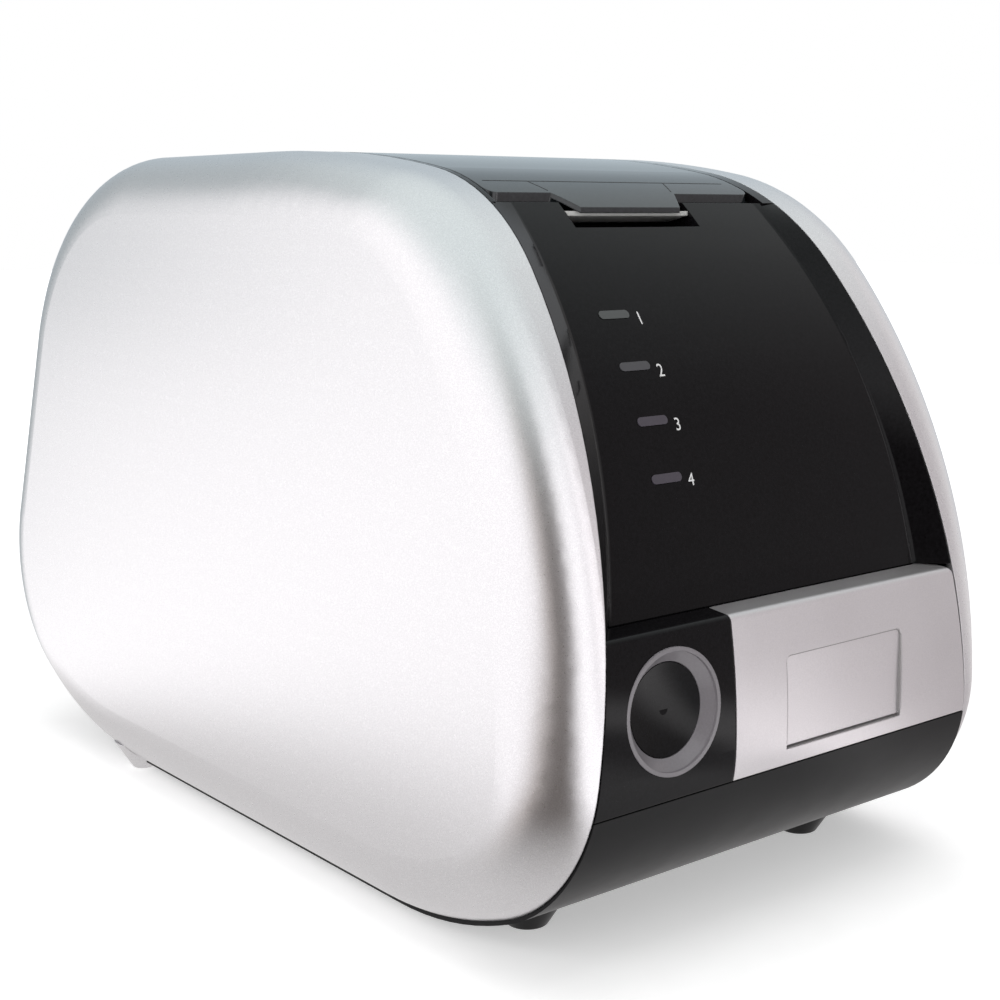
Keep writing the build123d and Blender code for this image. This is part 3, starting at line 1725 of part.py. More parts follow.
right_frame_plate.part.label = "right_frame_plate"
export_step(right_frame_plate.part, "parts/right_frame_plate.step")

with BuildPart() as main_board:
    with BuildSketch(side.offset(main_board_left)):
        add(side_box(main_board_front, main_board_back, main_board_low, main_board_high))
        with Locations(board_hole_places):
            Circle(screw_radius, mode=Mode.SUBTRACT)
    extrude(amount=board_thick)
    with BuildSketch(side.offset(main_board_right)):
        with Locations(processor_middle):
            Rectangle(processor_size, processor_size)
    extrude(amount=processor_thick)

main_board.part.label = "main_board"
export_step(main_board.part, "parts/main_board.step")

with BuildPart() as board_screws:
    for place in board_hole_places:
        head_right = main_board_right + screw_head_thick
        add(bar_across(screw_head_radius, main_board_right, head_right, place))
        add(bar_across(screw_radius, head_right - screw_length, main_board_right, place))

board_screws.part.label = "board_screws"
export_step(board_screws.part, "parts/board_screws.step")

heatsink_base_right = main_board_right + processor_thick + heatsink_base
fin_pitch = heatsink_size / (heatsink_fin_count - 1 / 2)

with BuildPart() as heatsink:
    with BuildSketch(side.offset(main_board_right + processor_thick)):
        with Locations(processor_middle):
            Rectangle(heatsink_size, heatsink_size)
    extrude(amount=heatsink_base)
    with BuildSketch(side.offset(heatsink_base_right)):
        with Locations(processor_middle):
            with GridLocations(fin_pitch, heatsink_size, heatsink_fin_count, 1):
                Rectangle(fin_pitch / 2, heatsink_size)
    extrude(amount=heatsink_fin_height)

heatsink.part.label = "heatsink"
export_step(heatsink.part, "parts/heatsink.step")

# Power supply: a slotted sheet box on the chassis, outside the left frame plate
supply_back = supply_front + supply_length
supply_top = chassis_top + supply_height
supply_slot_pitch = supply_length / (supply_slot_count + 1)
supply_right = supply_left + supply_width

with BuildPart() as power_supply:
    add(box_between(supply_left, supply_right, supply_front, supply_back, chassis_top, supply_top))
    add(
        box_between(
            supply_left + supply_wall,
            supply_right - supply_wall,
            supply_front + supply_wall,
            supply_back - supply_wall,
            chassis_top + supply_wall,
            supply_top - supply_wall,
        ),
        mode=Mode.SUBTRACT,
    )
    for step in range(supply_slot_count):
        slot_middle = supply_front + (step + 1) * supply_slot_pitch
        add(
            box_between(
                supply_left - overrun,
                supply_left + supply_wall * 2,
                slot_middle - supply_slot_width / 2,
                slot_middle + supply_slot_width / 2,
                chassis_top + supply_slot_margin,
                supply_top - supply_slot_margin,
            ),
            mode=Mode.SUBTRACT,
        )

power_supply.part.label = "power_supply"
export_step(power_supply.part, "parts/power_supply.step")

# Rear panel: the back of the band with the fan grille, the inlet, the switch and the data port
fan_face = back_plane(fan_x, fan_height, 0)
fan_inside = back_plane(fan_x, fan_height, band_wall)
inlet_face = back_plane(inlet_x, inlet_height, 0)
rocker_face = back_plane(inlet_x, rocker_height, 0)
port_face = back_plane(port_x, port_height, 0)
fan_hole_places = [
    (fan_hole_reach * x_hand, fan_hole_reach * y_hand) for x_hand in (-1, 1) for y_hand in (-1, 1)
]

with BuildSketch() as rear_view:
    add(outer_outline)
    rear_front = rim_back_depth + joint_gap
    rear_low = base_split_height + joint_gap
    rear_box = side_box(rear_front, housing_depth + overrun, rear_low, roof_height + overrun)
    add(rear_box, mode=Mode.INTERSECT)
    add(flange_outline, mode=Mode.SUBTRACT)

with BuildPart() as rear_cuts:
    for row in range(grille_rows):
        rise = (row - (grille_rows - 1) / 2) * grille_pitch
        reach = sqrt((fan_bore_radius - grille_slot / 2) ** 2 - rise**2)
        with BuildSketch(fan_face.offset(-overrun)):
            with Locations((0, rise)):
                SlotOverall(2 * reach, grille_slot)
        extrude(amount=2 * overrun)
    with BuildSketch(fan_face.offset(-overrun)):
        with Locations(fan_hole_places):
            Circle(screw_radius)
    extrude(amount=2 * overrun)
    with BuildSketch(inlet_face.offset(-overrun)):
        Rectangle(inlet_width, inlet_tall)
    extrude(amount=2 * overrun)
    with BuildSketch(rocker_face.offset(-overrun)):
        Rectangle(rocker_opening_width + 2 * rocker_wall, rocker_opening_tall + 2 * rocker_wall)
    extrude(amount=2 * overrun)
    with BuildSketch(port_face.offset(-overrun)):
        Rectangle(port_width, port_tall)
    extrude(amount=2 * overrun)

with BuildPart() as rear_panel:
    add(band_block(rear_view.sketch, seam_gap, seam_gap))
    add(band_block(wall_outline, band_wall, band_wall), mode=Mode.SUBTRACT)
    for across in (-cover_post_x, cover_post_x):
        for height in (rear_post_low, rear_post_high):
            post_back = back_at(height) - band_wall
            add(post_between(rear_post_radius, across, height, frame_back_depth, post_back))
    add(rear_cuts.part, mode=Mode.SUBTRACT)

rear_panel.part.label = "rear_panel"
export_step(rear_panel.part, "parts/rear_panel.step")

# Fan: square housing with a bore, struts behind the rotor, and seven pitched blades
with BuildPart() as fan_housing:
    with BuildSketch(fan_inside):
        RectangleRounded(fan_size, fan_size, fan_corner)
        Circle(fan_bore_radius, mode=Mode.SUBTRACT)
        with Locations(fan_hole_places):
            Circle(screw_radius, mode=Mode.SUBTRACT)
    extrude(amount=-fan_thick)
    with BuildSketch(fan_inside.offset(-fan_thick)):
        Circle(fan_hub_radius)
        Rectangle(2 * fan_bore_radius + fan_corner, fan_strut_width)
        Rectangle(fan_strut_width, 2 * fan_bore_radius + fan_corner)
    extrude(amount=fan_strut_thick)

fan_housing.part.label = "fan_housing"
export_step(fan_housing.part, "parts/fan_housing.step")

rotor_back = fan_inside.offset(fan_strut_thick + seat_gap - fan_thick)
rotor_depth = fan_thick - fan_strut_thick - seat_gap - fan_axial_gap
blade_length = fan_bore_radius - fan_tip_gap - fan_hub_radius

with BuildPart() as fan_rotor:
    with BuildSketch(rotor_back):
        Circle(fan_hub_radius)
    extrude(amount=rotor_depth)
    for step in range(fan_blade_count):
        turn = radians(step * 360 / fan_blade_count)
        outwards = rotor_back.x_dir * cos(turn) + rotor_back.y_dir * sin(turn)
        around = rotor_back.y_dir * cos(turn) - rotor_back.x_dir * sin(turn)
        pitched = around * cos(radians(fan_blade_angle)) + rotor_back.z_dir * sin(radians(fan_blade_angle))
        blade_plane = Plane(origin=rotor_back.offset(rotor_depth / 2).origin, x_dir=pitched, z_dir=outwards)
        with BuildSketch(blade_plane.offset(fan_hub_radius - fan_tip_gap)):
            Rectangle(fan_blade_width, fan_blade_thick)
        extrude(amount=blade_length)

fan_rotor.part.label = "fan_rotor"
export_step(fan_rotor.part, "parts/fan_rotor.step")

with BuildPart() as fan_screws:
    with BuildSketch(fan_face):
        with Locations(fan_hole_places):
            Circle(screw_head_radius)
    extrude(amount=screw_head_thick)
    with BuildSketch(fan_face):
        with Locations(fan_hole_places):
            Circle(screw_radius)
    extrude(amount=-screw_length)

fan_screws.part.label = "fan_screws"
export_step(fan_screws.part, "parts/fan_screws.step")

# Inlet: a flanged socket with chamfered corners and three flat pins
with BuildPart() as power_inlet:
    with BuildSketch(inlet_face):
        RectangleRounded(inlet_width + 2 * inlet_lip, inlet_tall + 2 * inlet_lip, inlet_lip)
    extrude(amount=inlet_flange)
    with BuildSketch(inlet_face):
        Rectangle(inlet_width, inlet_tall)
    extrude(amount=-inlet_depth)
    with BuildSketch(inlet_face.offset(inlet_flange)):
        Rectangle(inlet_cavity_width, inlet_cavity_tall)
        chamfer(vertices().group_by(Axis.Y)[-1], inlet_chamfer)
    extrude(amount=-inlet_cavity_depth, mode=Mode.SUBTRACT)
    with BuildSketch(inlet_face.offset(inlet_flange - inlet_cavity_depth)):
        with Locations((-pin_spacing, -pin_rise), (pin_spacing, -pin_rise), (0, pin_rise)):
            Rectangle(pin_thick, pin_width)
    extrude(amount=pin_length)

power_inlet.part.label = "power_inlet"
export_step(power_inlet.part, "parts/power_inlet.step")

# Rocker switch: frame, and the rocker that tilts about a level pin inside it
rocker_tilt = radians(rocker_angle / 2)
rocker_section = Plane(origin=rocker_face.origin, x_dir=rocker_face.y_dir, z_dir=rocker_face.x_dir)
pivot_plane = Plane(
    origin=rocker_face.offset(-rocker_pivot_sink).origin,
    x_dir=rocker_face.y_dir * cos(rocker_tilt) + rocker_face.z_dir * sin(rocker_tilt),
    z_dir=rocker_face.x_dir,
)
rocker_reach = rocker_opening_tall / 2 - rocker_gap

with BuildPart() as switch_frame:
    with BuildSketch(rocker_face):
        RectangleRounded(
            rocker_opening_width + 2 * (rocker_wall + inlet_lip),
            rocker_opening_tall + 2 * (rocker_wall + inlet_lip),
            inlet_lip,
        )
    extrude(amount=rocker_wall)
    with BuildSketch(rocker_face):
        Rectangle(rocker_opening_width + 2 * rocker_wall, rocker_opening_tall + 2 * rocker_wall)
    extrude(amount=-rocker_body_depth)
    with BuildSketch(rocker_face.offset(rocker_wall)):
        Rectangle(rocker_opening_width, rocker_opening_tall)
    extrude(amount=-rocker_body_depth, mode=Mode.SUBTRACT)
    with BuildSketch(rocker_section.offset(-rocker_opening_width / 2 - rocker_wall)):
        with Locations((0, -rocker_pivot_sink)):
            Circle(rocker_pin_radius + running_gap)
    extrude(amount=rocker_opening_width + 2 * rocker_wall, mode=Mode.SUBTRACT)

switch_frame.part.label = "switch_frame"
export_step(switch_frame.part, "parts/switch_frame.step")

with BuildPart() as power_rocker:
    with BuildSketch(pivot_plane.offset(rocker_gap - rocker_opening_width / 2)):
        Circle(rocker_reach)
        with BuildLine():
            Polyline(
                (-2 * rocker_reach, rocker_valley + 2 * rocker_reach * tan(rocker_tilt)),
                (0, rocker_valley),
                (2 * rocker_reach, rocker_valley + 2 * rocker_reach * tan(rocker_tilt)),
                (2 * rocker_reach, 2 * rocker_reach),
                (-2 * rocker_reach, 2 * rocker_reach),
                close=True,
            )
        make_face(mode=Mode.SUBTRACT)
    extrude(amount=rocker_opening_width - 2 * rocker_gap)
    with BuildSketch(pivot_plane.offset(-rocker_opening_width / 2 - rocker_wall / 2)):
        Circle(rocker_pin_radius)
    extrude(amount=rocker_opening_width + rocker_wall)

power_rocker.part.label = "power_rocker"
export_step(power_rocker.part, "parts/power_rocker.step")

# Data port: a shell with a tongue in its mouth
with BuildPart() as data_port:
    with BuildSketch(port_face):
        Rectangle(port_width, port_tall)
    extrude(amount=-port_depth)
    with BuildSketch(port_face):
        Rectangle(port_width - 2 * port_wall, port_tall - 2 * port_wall)
        chamfer(vertices().group_by(Axis.Y)[-1], 2 * port_wall)
        Rectangle(port_tongue_width, port_tongue_tall, mode=Mode.SUBTRACT)
    extrude(amount=-port_cavity_depth, mode=Mode.SUBTRACT)

data_port.part.label = "data_port"
export_step(data_port.part, "parts/data_port.step")
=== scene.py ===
import json
import math

import bmesh
import bpy
from mathutils import Matrix, Vector
from mathutils.bvhtree import BVHTree


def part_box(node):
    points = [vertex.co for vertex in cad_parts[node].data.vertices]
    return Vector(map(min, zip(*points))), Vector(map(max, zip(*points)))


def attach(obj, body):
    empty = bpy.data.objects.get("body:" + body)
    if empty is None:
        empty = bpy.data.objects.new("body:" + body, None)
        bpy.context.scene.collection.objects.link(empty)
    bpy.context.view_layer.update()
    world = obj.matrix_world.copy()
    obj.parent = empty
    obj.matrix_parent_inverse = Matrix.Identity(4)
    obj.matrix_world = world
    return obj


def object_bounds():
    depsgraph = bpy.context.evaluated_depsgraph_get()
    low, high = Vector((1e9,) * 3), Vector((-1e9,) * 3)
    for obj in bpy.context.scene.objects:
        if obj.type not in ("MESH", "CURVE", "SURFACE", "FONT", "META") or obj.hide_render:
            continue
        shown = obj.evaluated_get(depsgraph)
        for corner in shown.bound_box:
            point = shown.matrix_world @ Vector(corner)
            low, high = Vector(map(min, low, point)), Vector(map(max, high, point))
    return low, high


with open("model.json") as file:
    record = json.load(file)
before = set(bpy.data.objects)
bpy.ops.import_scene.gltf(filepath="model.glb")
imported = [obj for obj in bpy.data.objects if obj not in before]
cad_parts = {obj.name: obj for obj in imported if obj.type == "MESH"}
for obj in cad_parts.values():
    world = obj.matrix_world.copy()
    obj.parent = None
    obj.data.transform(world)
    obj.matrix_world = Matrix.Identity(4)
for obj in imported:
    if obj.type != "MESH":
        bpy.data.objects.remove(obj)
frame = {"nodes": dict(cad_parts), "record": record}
cad_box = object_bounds()
nodes = frame["nodes"]

MM = 0.001
METRE = 1.0
RAY_START = 0.2 * METRE

# Camera, fitted to the photograph
CAMERA_PLACE = Vector((-400, -536.3, 234)) * MM
CAMERA_RIGHT = Vector((0.7788, -0.6273, 0.0))
CAMERA_UP = Vector((0.1080, 0.1341, 0.9851))
SENSOR_WIDTH = 36.0
LENS_LENGTH = 59.11

# Numerals beside the lamps
NUMERAL_HEIGHT = 3.9 * MM
NUMERAL_LEFT = -32.0 * MM
NUMERAL_THICK = 0.05 * MM
NUMERAL_LIFT = 0.06 * MM
CAPITAL_SHARE = 0.7
LAMP_SPACING = 6.0 * MM

# Screw recess shade, painted as dark crosses, and switch marks
WELD_DISTANCE = 0.001 * MM
PLANE_STEP = 0.05 * MM
RELIEF = 0.06 * MM
RECESS_ARM_SHARE = 0.62
RECESS_HALF_SHARE = 0.15
MARK_HEIGHT = 3.6 * MM
MARK_HALF_WIDTH = 0.3 * MM
MARK_CORNERS = 24

# Crease near the front edge of the top cover
CREASE_BEHIND = 17.4 * MM
SHOULDER_BEHIND = 9.9 * MM
SHOULDER_SPREAD = 3.0 * MM
CREASE_LEFT_GAP = 5.0 * MM
CREASE_RIGHT_GAP = 6.0 * MM
CREASE_HALF_WIDTH = 0.22 * MM
CREASE_STEPS = 24
TONGUE_LEFT = -37.0 * MM
TONGUE_RIGHT = 20.7 * MM

# Painted shade: a grey line round the label recess of the silver front, standing for the shade along its
# edge
LABEL_LEFT = -6.6 * MM
LABEL_RIGHT = 52.0 * MM
LABEL_ABOVE = 5.5 * MM
LABEL_BELOW = 17.8 * MM
LABEL_CORNER = 2.6 * MM
LABEL_SHADE_WIDTH = 0.38 * MM
LABEL_CORNER_STEPS = 6
LABEL_SIDE_STEPS = 24

# Components on the main board: shares of its length and height, and the width of each chip
CHIP_SPOTS = ((0.22, 0.62, 9.0 * MM), (0.45, 0.30, 7.0 * MM), (0.70, 0.70, 5.0 * MM))
CAN_SPOTS = ((0.12, 0.25), (0.20, 0.25), (0.82, 0.30), (0.90, 0.30))
CHIP_TALL = 1.4 * MM
COMPONENT_EDGE = 0.25 * MM
EDGE_STEPS = 2
CAN_RADIUS = 3.2 * MM
CAN_TALL = 8.0 * MM
CAN_CORNERS = 32

# Plain finishes: name, colour, share by which it varies, metallic, roughness, grain per metre, bump depth
PLAIN_FINISHES = {
    "silver_front": ("silver_front", (0.60, 0.58, 0.59), 0.05, 0.75, 0.36, 2200.0, 0.03 * MM),
    "guide_white": ("guide_white", (0.72, 0.72, 0.70), 0.04, 0.0, 0.5, 1500.0, 0.03 * MM),
    "ring": ("ring_plastic", (0.22, 0.205, 0.22), 0.05, 0.0, 0.22, 1500.0, 0.02 * MM),
    "rubber": ("black_rubber", (0.028, 0.028, 0.03), 0.25, 0.0, 0.62, 1800.0, 0.08 * MM),
    "inner_plastic": ("moulded_plastic", (0.07, 0.07, 0.075), 0.15, 0.0, 0.45, 1600.0, 0.05 * MM),
}
SATIN_BLACK = ("satin_black", (0.009, 0.009, 0.0095), 0.2, 0.0, 0.38, 2600.0, 0.05 * MM)
WHITE_PRINT = ("white_print", (0.80, 0.80, 0.80), 0.03, 0.0, 0.5, 2000.0, 0.01 * MM)
# Grey of the painted shade along the edge of the label recess
RECESS_EDGE_SHADE_GREY = ("recess_edge_shade_grey", (0.27, 0.26, 0.26), 0.1, 0.0, 0.4, 2000.0, 0.01 * MM)
BROAD_RATIO = 40
MOULDED_EDGE = 0.4 * MM
PRINT_EDGE = 0.02 * MM
DARK_SPECULAR = 0.12
USUAL_SPECULAR = 0.5

# Brushed finishes: name, colour, roughness and the axis along which the lines run
BRUSHED_FINISHES = {
    "steel": ("brushed_steel", (0.60, 0.61, 0.63), 0.34, 1),
    "alu": ("turned_aluminium", (0.74, 0.75, 0.77), 0.30, 0),
    "brass": ("turned_brass", (0.72, 0.56, 0.28), 0.28, 0),
}
LINES_ALONG = 20.0
LINES_ACROSS = 1400.0

# Tones between which the other finishes vary
PEARL_TONES = ((0.62, 0.61, 0.62), (0.74, 0.73, 0.74))
PANEL_TONES = ((0.003, 0.0028, 0.0032), (0.007, 0.0065, 0.0075))
BUTTON_TONES = ((0.004, 0.004, 0.004), (0.008, 0.008, 0.009))
SMOKED_TONES = ((0.014, 0.017, 0.019), (0.026, 0.030, 0.033))
CLEAR_TONES = ((0.80, 0.88, 0.90), (0.90, 0.95, 0.96))
LAMP_TONES = ((0.062, 0.054, 0.070), (0.062, 0.066, 0.066))
LAMP_GRAIN_TONES = ((0.8, 0.85, 0.8), (1, 1, 1))
LAMP_GRAIN_SHARE = 0.3
BOARD_TONES = ((0.012, 0.11, 0.045), (0.016, 0.14, 0.055))
TRACK_TONE = (0.06, 0.26, 0.10)
MIRROR_TONES = ((0.86, 0.86, 0.88), (0.93, 0.93, 0.94))
FLOOR_TONES = ((0.84, 0.84, 0.84), (0.88, 0.88, 0.88))

# Lamps: place, point they face, width, height and power
LEFT_LIGHT = ((-1.6, -0.5, 0.9), (0, 0, 0.12), 1.6, 1.2, 16)
TOP_LIGHT = ((0.2, 0.0, 1.8), (0, 0, 0.1), 1.8, 1.8, 14)

# Studio: levels of the world, its overhead tone and the heights over which that comes in
WORLD_LEVEL = 0.45
RING_GAIN = 1.4
ZENITH_TONE = (0.68, 0.75, 0.75)
ZENITH_LOW = 0.4
ZENITH_HIGH = 0.95

# Floor: half its width, and the distances over which its glow grows to plain white
FLOOR_HALF = 6.0 * METRE
FLOOR_NEAR = 0.55 * METRE
FLOOR_FAR = 1.1 * METRE
FLOOR_GLOW = 0.42

# Floor as reflections see it: a painted contact shadow under the object gives way to the ring, turned a
# little
PAINTED_SHADOW_NEAR = 0.185 * METRE
PAINTED_SHADOW_FAR = 0.33 * METRE
PAINTED_CONTACT_SHADOW = (0.58, 0.57, 0.57)
FLOOR_TURN = 0.02

# Tones of the studio's ring: place in the turn from the back through left, front and right, then colour
RING_TONES = (
    (0.000, 0.30, 0.34, 0.36),
    (0.058, 0.32, 0.36, 0.37),
    (0.092, 1.08, 1.07, 1.08),
    (0.330, 1.08, 1.06, 1.08),
    (0.377, 0.38, 0.33, 0.305),
    (0.401, 0.06, 0.045, 0.038),
    (0.457, 0.06, 0.045, 0.038),
    (0.488, 1.20, 1.18, 1.20),
    (0.545, 1.20, 1.18, 1.20),
    (0.560, 0.60, 0.58, 0.60),
    (0.572, 0.60, 0.58, 0.60),
    (0.582, 1.90, 1.85, 1.88),
    (0.590, 1.90, 1.85, 1.88),
    (0.604, 0.50, 0.46, 0.47),
    (0.650, 0.40, 0.37, 0.38),
    (0.740, 0.70, 0.68, 0.68),
    (0.860, 0.42, 0.48, 0.52),
    (0.940, 0.36, 0.42, 0.46),
    (1.000, 0.30, 0.34, 0.36),
)


# Node helpers


def node_tree(name):
    """A new material, its node tree and its shader."""
    material = bpy.data.materials.new(name)
    material.use_nodes = True
    tree = material.node_tree
    return material, tree, tree.nodes["Principled BSDF"]


def place_coordinates(tree):
    """Coordinates that stay with the object, in metres."""
    return tree.nodes.new("ShaderNodeTexCoord").outputs["Object"]


def noise(tree, scale, detail=4.0, roughness=0.55):
    """Noise of a scale per metre."""
    texture = tree.nodes.new("ShaderNodeTexNoise")
    texture.inputs["Scale"].default_value = scale
    texture.inputs["Detail"].default_value = detail
    texture.inputs["Roughness"].default_value = roughness
    tree.links.new(place_coordinates(tree), texture.inputs["Vector"])
    return texture.outputs["Fac"]


def ramp(tree, value, low, high, first=0.3, last=0.7):
    """Colours spread over a value."""
    mapper = tree.nodes.new("ShaderNodeValToRGB")
    mapper.color_ramp.elements[0].position = first
    mapper.color_ramp.elements[1].position = last
    mapper.color_ramp.elements[0].color = (*low, 1)
    mapper.color_ramp.elements[1].color = (*high, 1)
    tree.links.new(value, mapper.inputs["Fac"])
    return mapper.outputs["Color"]


def spread(tree, value, low, high):
    """A value mapped from 0..1 to a range."""
    mapper = tree.nodes.new("ShaderNodeMapRange")
    mapper.inputs["To Min"].default_value = low
    mapper.inputs["To Max"].default_value = high
    tree.links.new(value, mapper.inputs["Value"])
    return mapper.outputs["Result"]


def between(tree, value, low, high, first=0.0, last=1.0):
    """A value smoothly mapped from one range to another."""
    fade = tree.nodes.new("ShaderNodeMapRange")
    fade.interpolation_type = "SMOOTHSTEP"
    fade.inputs["From Min"].default_value = low
    fade.inputs["From Max"].default_value = high
    fade.inputs["To Min"].default_value = first
    fade.inputs["To Max"].default_value = last
    tree.links.new(value, fade.inputs["Value"])
    return fade.outputs["Result"]


def arithmetic(tree, operation, first, second):
    """Two sockets joined by one operation."""
    step = tree.nodes.new("ShaderNodeMath")
    step.operation = operation
    tree.links.new(first, step.inputs[0])
    tree.links.new(second, step.inputs[1])
    return step.outputs["Value"]


def colour_mix(tree, share, first, second, blend_type="MIX"):
    """Two colours mixed by a share; each of the three may be a socket or a fixed value."""
    mix = tree.nodes.new("ShaderNodeMix")
    mix.data_type = "RGBA"
    mix.blend_type = blend_type
    for name, value in (("Factor", share), ("A", first), ("B", second)):
        if isinstance(value, bpy.types.NodeSocket):
            tree.links.new(value, mix.inputs[name])
        else:
            mix.inputs[name].default_value = value
    return mix.outputs["Result"]


def glossy_switch(tree, path, usual, reflected):
    """One shader for reflections, another for all other rays."""
    mix = tree.nodes.new("ShaderNodeMixShader")
    tree.links.new(path.outputs["Is Glossy Ray"], mix.inputs["Fac"])
    tree.links.new(usual, mix.inputs[1])
    tree.links.new(reflected, mix.inputs[2])
    return mix.outputs["Shader"]


def rounded_bump(tree, shader, height, strength, distance, edge):
    """Bump over edges that look slightly rounded."""
    bevel = tree.nodes.new("ShaderNodeBevel")
    bevel.samples = 4
    bevel.inputs["Radius"].default_value = edge
    bump = tree.nodes.new("ShaderNodeBump")
    bump.inputs["Strength"].default_value = strength
    bump.inputs["Distance"].default_value = distance
    tree.links.new(height, bump.inputs["Height"])
    tree.links.new(bevel.outputs["Normal"], bump.inputs["Normal"])
    tree.links.new(bump.outputs["Normal"], shader.inputs["Normal"])


# Finishes


def plain_finish(
    name, colour, vary, metallic, roughness, grain, depth, edge=MOULDED_EDGE, specular=USUAL_SPECULAR
):
    """A finish whose colour varies over a fine grain and whose roughness varies over a broad one."""
    material, tree, shader = node_tree(name)
    low = tuple(channel * (1 - vary) for channel in colour)
    high = tuple(min(channel * (1 + vary), 1) for channel in colour)
    fine = noise(tree, grain)
    broad = noise(tree, grain / BROAD_RATIO)
    tree.links.new(ramp(tree, fine, low, high), shader.inputs["Base Color"])
    rough = spread(tree, broad, low=roughness * 0.85, high=roughness * 1.15)
    tree.links.new(rough, shader.inputs["Roughness"])
    shader.inputs["Metallic"].default_value = metallic
    shader.inputs["Specular IOR Level"].default_value = specular
    rounded_bump(tree, shader, fine, strength=0.3, distance=depth, edge=edge)
    return material


def brushed_finish(name, colour, roughness, along):
    """Metal with fine lines along one axis."""
    material, tree, shader = node_tree(name)
    scales = tuple(LINES_ALONG if axis == along else LINES_ACROSS for axis in range(3))
    stretch = tree.nodes.new("ShaderNodeMapping")
    stretch.inputs["Scale"].default_value = scales
    tree.links.new(place_coordinates(tree), stretch.inputs["Vector"])
    lines = tree.nodes.new("ShaderNodeTexNoise")
    lines.inputs["Scale"].default_value = 1.0
    lines.inputs["Detail"].default_value = 3.0
    tree.links.new(stretch.outputs["Vector"], lines.inputs["Vector"])
    low = tuple(channel * 0.85 for channel in colour)
    tree.links.new(ramp(tree, lines.outputs["Fac"], low, colour), shader.inputs["Base Color"])
    rough = spread(tree, lines.outputs["Fac"], low=roughness * 0.8, high=roughness * 1.25)
    tree.links.new(rough, shader.inputs["Roughness"])
    shader.inputs["Metallic"].default_value = 1.0
    rounded_bump(tree, shader, lines.outputs["Fac"], strength=0.15, distance=0.02 * MM, edge=0.3 * MM)
    return material


def pearl_finish():
    """Silver lacquer with a fine flake."""
    material, tree, shader = node_tree("pearl_lacquer")
    flakes = tree.nodes.new("ShaderNodeTexVoronoi")
    flakes.inputs["Scale"].default_value = 2600.0
    tree.links.new(place_coordinates(tree), flakes.inputs["Vector"])
    flake_colour = ramp(tree, flakes.outputs["Distance"], *PEARL_TONES, first=0.1, last=0.8)
    tree.links.new(flake_colour, shader.inputs["Base Color"])
    rough = spread(tree, noise(tree, scale=900.0), low=0.25, high=0.32)
    tree.links.new(rough, shader.inputs["Roughness"])
    shader.inputs["Metallic"].default_value = 0.9
    orange_peel = noise(tree, scale=1500.0, detail=2.0)
    rounded_bump(tree, shader, orange_peel, strength=0.12, distance=0.03 * MM, edge=0.5 * MM)
    return material


def smoked_finish():
    """Smoked plastic with faint dust."""
    material, tree, shader = node_tree("smoked_plastic")
    dust = noise(tree, scale=700.0, detail=6.0)
    tree.links.new(ramp(tree, dust, *SMOKED_TONES), shader.inputs["Base Color"])
    tree.links.new(spread(tree, dust, low=0.06, high=0.12), shader.inputs["Roughness"])
    shader.inputs["Specular IOR Level"].default_value = USUAL_SPECULAR
    wave = noise(tree, scale=60.0, detail=2.0)
    rounded_bump(tree, shader, wave, strength=0.05, distance=0.05 * MM, edge=0.5 * MM)
    return material


def gloss_finish(name, tones, edge):
    """Piano-gloss plastic with a very faint wave and dust specks."""
    material, tree, shader = node_tree(name)
    specks = noise(tree, scale=900.0, detail=6.0)
    tree.links.new(ramp(tree, specks, *tones), shader.inputs["Base Color"])
    rough = spread(tree, noise(tree, scale=25.0), low=0.05, high=0.11)
    tree.links.new(rough, shader.inputs["Roughness"])
    shader.inputs["Specular IOR Level"].default_value = DARK_SPECULAR
    wave = noise(tree, scale=40.0, detail=2.0)
    rounded_bump(tree, shader, wave, strength=0.06, distance=0.05 * MM, edge=edge)
    return material


def clear_finish():
    """Clear acrylic with a faint tint and fine scratches."""
    material, tree, shader = node_tree("clear_acrylic")
    marks = noise(tree, scale=500.0, detail=5.0)
    tree.links.new(ramp(tree, marks, *CLEAR_TONES), shader.inputs["Base Color"])
    tree.links.new(spread(tree, marks, low=0.03, high=0.10), shader.inputs["Roughness"])
    shader.inputs["Transmission Weight"].default_value = 0.9
    shader.inputs["IOR"].default_value = 1.49
    return material


def lamp_finish():
    """Unlit light pipes: greenish grey at the top, lavender at the bottom."""
    material, tree, shader = node_tree("light_pipe")
    low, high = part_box("status_light_pipes")
    height = tree.nodes.new("ShaderNodeSeparateXYZ")
    tree.links.new(place_coordinates(tree), height.inputs["Vector"])
    rise = tree.nodes.new("ShaderNodeMapRange")
    rise.inputs["From Min"].default_value = low[2]
    rise.inputs["From Max"].default_value = high[2]
    tree.links.new(height.outputs["Z"], rise.inputs["Value"])
    tint = ramp(tree, rise.outputs["Result"], *LAMP_TONES, first=0.4, last=0.9)
    grain = ramp(tree, noise(tree, scale=900.0), *LAMP_GRAIN_TONES)
    grained = colour_mix(tree, LAMP_GRAIN_SHARE, tint, grain, "MULTIPLY")
    tree.links.new(grained, shader.inputs["Base Color"])
    rough = spread(tree, noise(tree, scale=600.0), low=0.18, high=0.28)
    tree.links.new(rough, shader.inputs["Roughness"])
    return material


